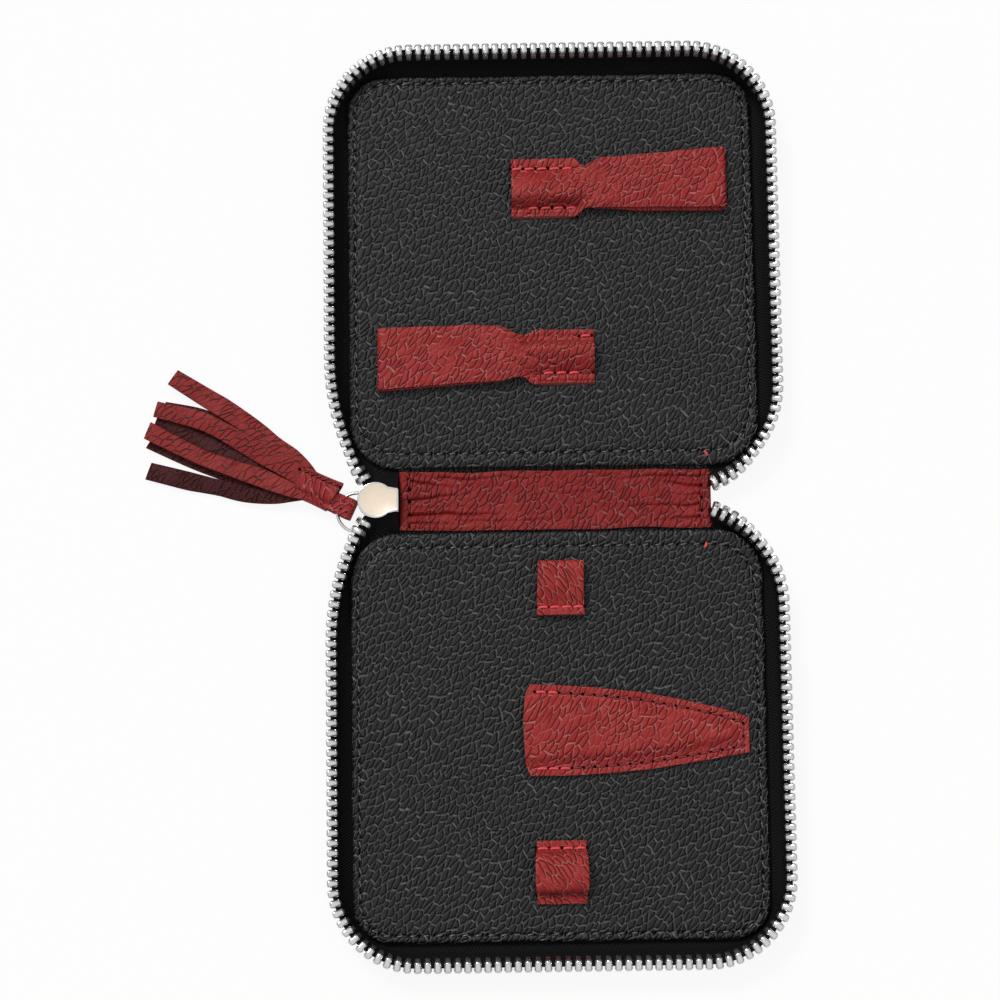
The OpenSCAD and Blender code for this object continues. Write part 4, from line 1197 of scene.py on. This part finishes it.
def splineSpot(points, f):
    # smooth line through the points
    count = len(points) - 1
    at = clamp(f * count, 0, count - 1e-6)
    k = int(at)
    t = at - k
    p0, p1, p2, p3 = (Vector(points[clamp(k + d, 0, count)]) for d in (-1, 0, 1, 2))
    return 0.5 * (2 * p1 + (p2 - p0) * t + (2 * p0 - 5 * p1 + 4 * p2 - p3) * t * t
                  + (3 * p1 - p0 - 3 * p2 + p3) * t ** 3)


def makeStrip(number, strip):
    line = strip["line"]
    spans = len(line) - 1
    reach = [0.0]
    for a, b in zip(line, line[1:]):
        reach.append(reach[-1] + (Vector(b[:2]) - Vector(a[:2])).length)

    def place(u, v):
        spot = splineSpot(line, u)
        ahead = splineSpot(line, min(1, u + 0.02)) - splineSpot(line, max(0, u - 0.02))
        ahead = Vector(ahead[:2]).normalized()
        aside = Vector((-ahead.y, ahead.x))
        across = (v - 0.5) * spot.z * (1 + 0.03 * ripple(u * 40, number * 9, 9))
        # cut ends are seldom square
        slip = (v - 0.5) * 0.5 * math.sin(number * 2.3 + 0.5) * ease((u - 0.9) / 0.1)
        z = mix(strip["root"], strip["end"], ease(u * 1.3))
        z += strip["roll"] * across * math.sin(math.pi * u) + 0.14 * ripple(spot.x, spot.y, 8, number)
        # the edges curl down a little, as cut strips do
        z = max(z - 0.035 * across * across * (0.4 + 0.6 * u), tasselLook["stripLow"])
        flat = Vector(spot[:2]) + aside * across + ahead * slip
        span = min(int(u * spans), spans - 1)
        distance = mix(reach[span], reach[span + 1], u * spans - span)
        return (flat.x, flat.y, z), (distance + number * 13, across + number * 7)

    face = fringeLeather if strip["hide"] == "red" else shadedStripLeather
    return leatherSheet("strip", 64, 8, place, tasselLook["stripThick"], face, redEdge, 0.14)


strips = [makeStrip(k, strip) for k, strip in enumerate(tasselStrips)]
piece = joinPieces("tassel_fringe_strips", strips)
settle(piece, "tassel", standsFor=["tassel_fringe"])

turn = math.radians(tasselLook["turn"])
way = Vector((math.cos(turn), math.sin(turn)))
spots = stitchRow(onTassel(tasselLook["seamFrom"], tasselLook["seamAcross"], 0),
                  way * tasselLook["stitchPitch"], tasselLook["stitches"], way)
piece = sewStitches("tassel_stitches_thread", plainStitch, spots, tasselLook["stitchHigh"],
                    tasselLook["stitchSlant"])
settle(piece, "tassel", standsFor=["tassel_stitches"])
print("tassel made")


# Clipper straps: a sewn arch that narrows to a neck and widens to a flap of doubled leather

strapLook = {
    "thick": 0.95, "flange": 3.1, "rise": 3.25, "flank": 0.4, "total": 56.2, "flapMid": 5.75,
    "foldRound": 0.7, "underTo": 21.5, "wrinkle": 0.18, "stitchHigh": 4.55, "stitchSlant": 3,
    # where the sewn arch has turned into the flap, and the gathers round the neck between them
    "neckFrom": 14.5, "neckLong": 6.5, "gatherAt": 19.5, "gatherLong": 5.5, "gatherPitch": 2.6,
    "gatherDeep": 0.36, "creaseDeep": 0.34, "creaseWide": 0.5,
    # the needle's pull along the seams, and the edges of the layers under the lower flange
    "pullDeep": 0.35, "pullWide": 0.6, "layers": (0.45, 1.0), "layerDeep": 0.36,
}
strapPlans = {
    # outline of each strap in its own frame: distance along it, then the edge at its left and right
    # hand; rows of stitches: place across, first stitch, count; loopEnd: a loop of thread by itself
    "right": {"x": -10.1, "y": 81.9, "way": 1, "joint": (8.4, 81.9),
              "high": [(0, 7.8), (16.6, 7.9), (18.2, 5.9), (19.4, 5.5), (23.0, 7.6), (40, 8.8),
                       (56.2, 10.1)],
              "low": [(0, -7.8), (16.8, -7.7), (18.8, -5.6), (21, -5.6), (40, -5.7), (56.2, -5.9)],
              "crease": 0.42, "creaseAt": 2.0, "tilt": -1, "under": -0.75, "seed": 3.3, "ridge": 0.28,
              "rows": ((5.23, 1.4, 5), (-5.28, 5.6, 4)), "plainRows": (), "loopEnd": (17.35, -6.2)},
    "left": {"x": 10.7, "y": 37.3, "way": -1, "joint": (-7.8, 37.3),
             "high": [(0, 6.8), (15.5, 6.9), (18.4, 5.4), (20, 5.5), (24, 7.6), (31.6, 8.1), (56.7, 7.6)],
             "low": [(0, -7.3), (16, -7.4), (18.3, -5.5), (20, -5.5), (24.4, -6.6), (31.6, -6.8),
                     (56, -8.5)],
             "crease": 0.4, "creaseAt": 1.0, "tilt": 1, "under": -0.3, "seed": 8.1, "ridge": 0.74,
             "rows": ((5.2, 2.2, 1), (-4.46, 5.3, 3)), "plainRows": ((-4.46, 2.0, 1), (-4.46, 14.9, 1))},
}


def archSection(v, low, high, ridgeAt):
    # across a sewn base: flat flange, an arch with a short steep flank and a long slope, flat flange;
    # v runs from the low edge to the high edge. A ridge past the middle puts the steep flank on the
    # high side.
    look = strapLook
    share = look["flange"] / (high - low + 4.5)
    if v < share:
        return low + v / share * look["flange"], 0.0
    if v > 1 - share:
        return high - (1 - v) / share * look["flange"], 0.0
    f = (v - share) / (1 - 2 * share)
    start, end = low + look["flange"], high - look["flange"]
    ridge = mix(start, end, ridgeAt)
    if ridgeAt > 0.5:
        f, start, end = 1 - f, end, start
    if f < look["flank"]:
        climb = f / look["flank"]
        return mix(start, ridge, climb), look["rise"] * math.sin(climb * math.pi / 2) ** 0.85
    slope = (f - look["flank"]) / (1 - look["flank"])
    return mix(ridge, end, slope), look["rise"] * math.cos(slope * math.pi / 2) ** 1.1


def makeStrap(side):
    look, plan = strapLook, strapPlans[side]
    straight = look["total"] - look["foldRound"] - look["thick"] / 2
    arc = math.pi * look["foldRound"]
    total = straight + arc + (straight - look["underTo"])

    def place(u, v):
        s = u * total
        if s < straight:
            at, up = s, 0.0
        elif s < straight + arc:
            turn = (s - straight) / look["foldRound"]
            at = straight + look["foldRound"] * math.sin(turn)
            up = -look["foldRound"] * (1 - math.cos(turn))
        else:
            at, up = straight - (s - straight - arc), -2 * look["foldRound"]
        high, low = along(plan["high"], at, 0.5), along(plan["low"], at, 0.5)
        under = ease((s - straight) / (arc * 1.5))
        # sewn arch, then the neck, then the flap
        toFlap = ease((at - look["neckFrom"]) / look["neckLong"])
        baseAcross, baseUp = archSection(v, low, high, plan["ridge"])
        across = mix(baseAcross, mix(low, high, v), toFlap)
        across += under * plan["under"] * ease((at - 24) / 10)
        fromMid = across - (high + low) / 2
        flange = case["top"] + look["thick"] / 2
        arched = 0.02 * fromMid ** 2 * ease(1 - (at - 18) / 6)
        z = mix(flange + baseUp, look["flapMid"] - arched, toFlap)
        z += up
        if up == 0.0:
            flapPart = ease((at - 20) / 4)
            edgeDrop = ease((1.6 - min(v, 1 - v) * (high - low)) / 1.6)
            z += flapPart * mix(0.2, -0.12, edgeDrop)
            gather = math.exp(-((at - look["gatherAt"]) / look["gatherLong"]) ** 2)
            # the needle pulls the leather in along both seams
            for row in plan["rows"]:
                pull = math.exp(-((across - row[0]) / look["pullWide"]) ** 2)
                z -= look["pullDeep"] * pull * ease((18.5 - at) / 1.5)
            # the edges of the layers under the lower flange show through
            for layer in look["layers"]:
                step = math.exp(-((across - low - layer) / 0.2) ** 2)
                z -= look["layerDeep"] * step * ease((15.5 - at) / 1.5)
            # steep gathers beside the neck, and one long crease that runs into it
            phase = at + fromMid * 0.45 * plan["tilt"] + 0.5 * ripple(at, fromMid, 5, plan["seed"])
            sharp = (0.5 + 0.5 * math.cos(2 * math.pi * phase / look["gatherPitch"])) ** 5
            z += look["gatherDeep"] * sharp * gather * toFlap
            line = (fromMid - (at - 19) * plan["crease"] - plan["creaseAt"]) / look["creaseWide"]
            z -= look["creaseDeep"] * math.exp(-((at - 16) / 7) ** 2) * math.exp(-line ** 2)
            z += look["wrinkle"] * ripple(at, fromMid, 9, plan["seed"] + 4) * flapPart
            z += 0.12 * ripple(at * 0.7 + fromMid * 0.9, fromMid - at * 0.8, 3.4, plan["seed"])
        x = plan["x"] + plan["way"] * at
        return (x, plan["y"] + across, z), (s * plan["way"] + plan["seed"] * 9, (v - 0.5) * 17)

    piece = leatherSheet("strap_" + side + "_leather", 190, 72, place, look["thick"], redLeather,
                         redEdge, 0.2)
    # the span where it would bend, from a little before its joint to a little past it; settle only bakes
    # the piece in place
    jointX, jointY = plan["joint"]
    bend = ("upper_half", side + "_flap", ((jointX - plan["way"] * 1.2) * mm, jointY * mm, 0),
            ((jointX + plan["way"] * 2.6) * mm, jointY * mm, 0))
    return settle(piece, bend=bend,
                  standsFor=["strap_base_" + side, "strap_flap_" + side])


def strapRows(plan, rows):
    spots = []
    for across, start, count in rows:
        spots += stitchRow((plan["x"] + plan["way"] * start, plan["y"] + across),
                           (plan["way"] * case["stitchPitch"], 0), count, (1, 0.04))
    return spots


for side, plan in strapPlans.items():
    makeStrap(side)
    spots = strapRows(plan, plan["rows"])
    if "loopEnd" in plan:
        at, across = plan["loopEnd"]
        spots += stitchRow((plan["x"] + plan["way"] * at, plan["y"] + across), (0, 0), 1, (-0.3, -1))
    seams = [sewStitches("seam", master, found, strapLook["stitchHigh"], strapLook["stitchSlant"])
             for master, found in ((redStitch, spots), (plainStitch, strapRows(plan, plan["plainRows"])))
             if found]
    piece = joinPieces("strap_stitches_" + side + "_thread", seams)
    settle(piece, "upper_half", standsFor=["strap_stitches_" + side])
print("clipper straps made")


# File loop: a tab folded double, open at both sides, sewn along one edge

fileLook = {"x": 0.85, "wide": 12.3, "foldY": -16.1, "endY": -30.2, "thick": 0.95, "high": 3.4,
            "seamY": -28.1, "seamDeep": 0.28, "stitchFrom": -4.5, "stitchPitch": 3.0, "stitches": 4,
            "stitchHigh": 5.42, "creaseDeep": 0.3}


def filePlace(u, v):
    look = fileLook
    half = look["thick"] / 2
    radius = look["high"] / 2 - half
    straight = look["foldY"] - look["endY"] - radius - half
    arc = math.pi * radius
    s = u * (2 * straight + arc)
    across = (v - 0.5) * (look["wide"] - 0.5 * math.sin(math.pi * u))
    if s < straight:
        y, z = look["endY"] + s, case["top"] + half
    elif s < straight + arc:
        turn = (s - straight) / radius
        y = look["endY"] + straight + radius * math.sin(turn)
        z = case["top"] + half + radius * (1 - math.cos(turn))
    else:
        run = s - straight - arc
        y = look["endY"] + straight - run
        sewn = case["top"] + look["thick"] * 1.5
        z = mix(case["top"] + look["high"] - half, sewn, ease((run - 4.5) / 6.2))
        z += 0.16 * ripple(across * 0.8 - y, y * 0.8 + across, 3.6, 6.6) * ease(run / 2)
        # one crease runs askew across it
        z -= look["creaseDeep"] * math.exp(-((across * 0.75 + y + 20.5) / 0.5) ** 2) * ease(run / 3)
        # the seam pulls the leather in; the hem stands up below it
        z -= look["seamDeep"] * math.exp(-((y - look["seamY"]) / 0.5) ** 2)
    return (look["x"] + across + 0.25 * ease((y + 24) / 8), y, z), (across + 31, s)


piece = leatherSheet("file_loop_leather", 90, 26, filePlace, fileLook["thick"], redLeather,
                     redEdge, 0.2)
settle(piece, "lower_half", standsFor=["file_loop"])
spots = stitchRow((fileLook["x"] + fileLook["stitchFrom"], fileLook["seamY"]),
                  (fileLook["stitchPitch"], 0), fileLook["stitches"], (1, 0.05))
piece = sewStitches("file_loop_stitches_thread", redStitch, spots, fileLook["stitchHigh"])
settle(piece, "lower_half", standsFor=["file_loop_stitches"])


# Scissors pocket: a flat sewn border round a raised middle that is open at the wide end

pocketLook = {
    "thick": 0.95, "high": 1.5, "border": 2.6, "slope": 3.2, "stitchIn": 1.9, "stitchPitch": 3.0,
    "seamDeep": 0.2, "seamWide": 0.45,
    "top": [(-7.2, -47.75), (-2, -47.95), (8.4, -48.7), (21.4, -50.2), (33.4, -52.6), (41.3, -54.5),
            (48.4, -56.9)],
    "bottom": [(-7.6, -71.1), (2.8, -71.1), (13, -70.6), (23, -69.8), (37.1, -67.7), (48.4, -65.8)],
    "mouth": [(-71.1, -7.5), (-69.0, -8.5), (-64.0, -9.0), (-57.5, -9.2), (-51.0, -8.7), (-49.0, -8.1),
              (-47.7, -7.2)],
    "endX": 48.3, "endSeam": ((46.6, -65.0), (46.6, -58.4)),
    # how many stitches show bright in the top, bottom and end seam, from the mouth on
    "brightStitches": (2, 3, 0),
}


def pocketSpot(u, v):
    look = pocketLook
    y = mix(look["mouth"][0][0], look["mouth"][-1][0], v)
    x = mix(along(look["mouth"], y, 0.5), look["endX"], u)
    low, high = along(look["bottom"], x, 1.5), along(look["top"], x, 1.5)
    y = mix(low, high, v)
    return x, y, low, high


def pocketHeight(x, y, low, high):
    look = pocketLook
    rim = min(y - low, high - y, look["endX"] - x + 0.4)
    z = case["top"] + look["thick"] / 2 + look["high"] * ease((rim - look["border"]) / look["slope"])
    z += 0.13 * ripple(x - y, x * 0.7 + y, 6.5, 1.2) * ease((rim - 2.0) / 2)
    z -= look["seamDeep"] * math.exp(-((rim - look["stitchIn"]) / look["seamWide"]) ** 2)
    return z


def pocketPlace(u, v):
    x, y, low, high = pocketSpot(u, v)
    return (x, y, pocketHeight(x, y, low, high)), (x, y)


piece = leatherSheet("scissors_pocket_leather", 120, 54, pocketPlace, pocketLook["thick"], redLeather,
                     redEdge, 0.22)
settle(piece, "lower_half", standsFor=["scissors_pocket"])

seamLines = []
for table, sign in (("top", -1), ("bottom", 1)):
    seamLines.append([Vector((x, along(pocketLook[table], x, 1.5) + sign * pocketLook["stitchIn"]))
                      for x in range(-6, 48)])
seamLines.append([Vector(spot) for spot in pocketLook["endSeam"]])
redSpots, plainSpots = [], []
for line, bright in zip(seamLines, pocketLook["brightStitches"]):
    found = walkEvenly(line, pocketLook["stitchPitch"])
    redSpots += found[:bright]
    plainSpots += found[bright:]
height = case["top"] + pocketLook["thick"]
piece = joinPieces("pocket_stitches_thread", [sewStitches("brightOnes", redStitch, redSpots, height),
                                              sewStitches("darkOnes", plainStitch, plainSpots, height)])
settle(piece, "lower_half", standsFor=["pocket_stitches"])


# Pusher loop: a strip sewn down on both sides of a full round arch that leans over one seam

pusherLook = {"x": 0.1, "wide": 12.6, "bulge": 0.45, "topY": -87.4, "endY": -103.3, "thick": 0.95,
              "flange": 3.2, "rise": 3.6, "lean": 1.3, "topSeam": -89.3, "endSeam": -101.0,
              "stitchFrom": -4.8, "stitchPitch": 3.2, "stitches": 4, "stitchHigh": 4.66}


def pusherPlace(u, v):
    look = pusherLook
    long = look["topY"] - look["endY"]
    f = 1 - v
    flangeShare = look["flange"] / (long + 5)
    if f < flangeShare:
        y, z = look["topY"] - f / flangeShare * look["flange"], 0.0
    elif f > 1 - flangeShare:
        y, z = look["endY"] + (1 - f) / flangeShare * look["flange"], 0.0
    else:
        g = (f - flangeShare) / (1 - 2 * flangeShare)
        turn = math.pi * g
        span = long - 2 * look["flange"]
        y = look["topY"] - look["flange"] - span * (0.5 - 0.5 * math.cos(turn))
        z = look["rise"] * math.sin(turn) ** 0.72
        y -= look["lean"] * math.sin(turn) ** 1.2
    z += case["top"] + look["thick"] / 2
    x = (u - 0.5) * (look["wide"] + 2 * look["bulge"] * (z - 4) / look["rise"])
    z += 0.14 * ripple(x * 1.2, f * 30, 3.2, 9.4) * (0.3 + f)
    return (look["x"] + x, y, z), (x + 55, f * 24)


piece = leatherSheet("pusher_loop_leather", 26, 84, pusherPlace, pusherLook["thick"], redLeather,
                     redEdge, 0.2)
settle(piece, "lower_half", standsFor=["pusher_loop"])
# the lower seam was sewn with the dark thread
seams = []
for seam, master in (("topSeam", redStitch), ("endSeam", plainStitch)):
    spots = stitchRow((pusherLook["x"] + pusherLook["stitchFrom"], pusherLook[seam]),
                      (pusherLook["stitchPitch"], 0), pusherLook["stitches"], (1, 0.04))
    seams.append(sewStitches(seam, master, spots, pusherLook["stitchHigh"]))
piece = joinPieces("pusher_loop_stitches_thread", seams)
settle(piece, "lower_half", standsFor=["pusher_loop_stitches"])
print("holders made")

for master in (blackStitch, redStitch, plainStitch, needleHole, awlMark, zipTooth):
    bpy.data.objects.remove(master)


# Floor, light and camera

lightLook = {"zenith": 0.78, "horizon": 0.08, "key": 1.75, "keySpread": 20,
             "keyFrom": (-0.38, 0.62, 0.8), "glow": 1.0, "glowShare": 0.9, "paper": "#e9e9e8"}


def makeFloor():
    bpy.ops.object.select_all(action="DESELECT")
    bpy.ops.mesh.primitive_plane_add(size=6, location=(0, 0, -0.00003))
    floor = bpy.context.object
    floor.name = "floor"
    material, tree = newMaterial("paleStudioPaper")
    diffuse = addNode(tree, "BsdfDiffuse", {}, {"Color": linearColour(lightLook["paper"])})
    # lifts the paper to white for the camera and in reflections, and keeps the shadow on it
    path = addNode(tree, "LightPath")
    seen = path.outputs["Is Camera Ray"]
    for ray in ("Is Glossy Ray", "Is Transmission Ray"):
        seen = addNode(tree, "Math", {"operation": "MAXIMUM"},
                       {0: seen, 1: path.outputs[ray]}).outputs[0]
    seen = addNode(tree, "Math", {"operation": "MULTIPLY"},
                   {0: seen, 1: lightLook["glowShare"]}).outputs[0]
    glow = addNode(tree, "Emission", {}, {"Strength": lightLook["glow"]})
    both = addNode(tree, "MixShader", {}, {0: seen, 1: diffuse.outputs[0], 2: glow.outputs[0]})
    addNode(tree, "OutputMaterial", {}, {"Surface": both.outputs[0]})
    floor.data.materials.append(material)


makeFloor()
# a bright ceiling that falls off to the walls, white where the camera looks past the floor
world = bpy.data.worlds.new("studio")
world.use_nodes = True
world.node_tree.nodes.clear()
tree = world.node_tree
height = addNode(tree, "TexCoord").outputs["Generated"]
height = addNode(tree, "SeparateXYZ", {}, {"Vector": height}).outputs["Z"]
height = addNode(tree, "MapRange", {"interpolation_type": "SMOOTHSTEP"},
                 {"Value": height, "From Min": 0.05, "From Max": 0.8, "To Min": lightLook["horizon"],
                  "To Max": lightLook["zenith"]}).outputs[0]
path = addNode(tree, "LightPath").outputs["Is Camera Ray"]
height = addNode(tree, "Mix", {}, {"Factor": path, "A": height, "B": 1.0}).outputs[0]
sky = addNode(tree, "Background", {}, {"Color": (1, 1, 1, 1), "Strength": height})
addNode(tree, "OutputWorld", {}, {"Surface": sky.outputs[0]})
bpy.context.scene.world = world
key = bpy.data.objects.new("softKey", bpy.data.lights.new("softKey", "SUN"))
bpy.context.collection.objects.link(key)
key.data.energy, key.data.angle = lightLook["key"], math.radians(lightLook["keySpread"])
key.location = Vector(lightLook["keyFrom"])
key.rotation_mode = "QUATERNION"
key.rotation_quaternion = (-key.location).to_track_quat("-Z", "Y")

cameraLook = {"target": (-14.25, -0.11, 3.6), "pitch": 7.82, "roll": -0.83, "far": 700.0, "lens": 97.8}
camera = bpy.data.objects.new("camera", bpy.data.cameras.new("camera"))
bpy.context.collection.objects.link(camera)
pitch, roll = math.radians(cameraLook["pitch"]), math.radians(cameraLook["roll"])
away = Vector((0, -math.sin(pitch), math.cos(pitch))) * cameraLook["far"]
camera.matrix_world = (Matrix.Translation((Vector(cameraLook["target"]) + away) * mm)
                       @ Matrix.Rotation(pitch, 4, "X") @ Matrix.Rotation(roll, 4, "Z"))
camera.data.sensor_width = 36
camera.data.lens = cameraLook["lens"]
camera.data.clip_start, camera.data.clip_end = 0.01, 20
bpy.context.scene.camera = camera
bpy.context.scene.view_settings.view_transform = "Standard"
print("floor, light and camera made")
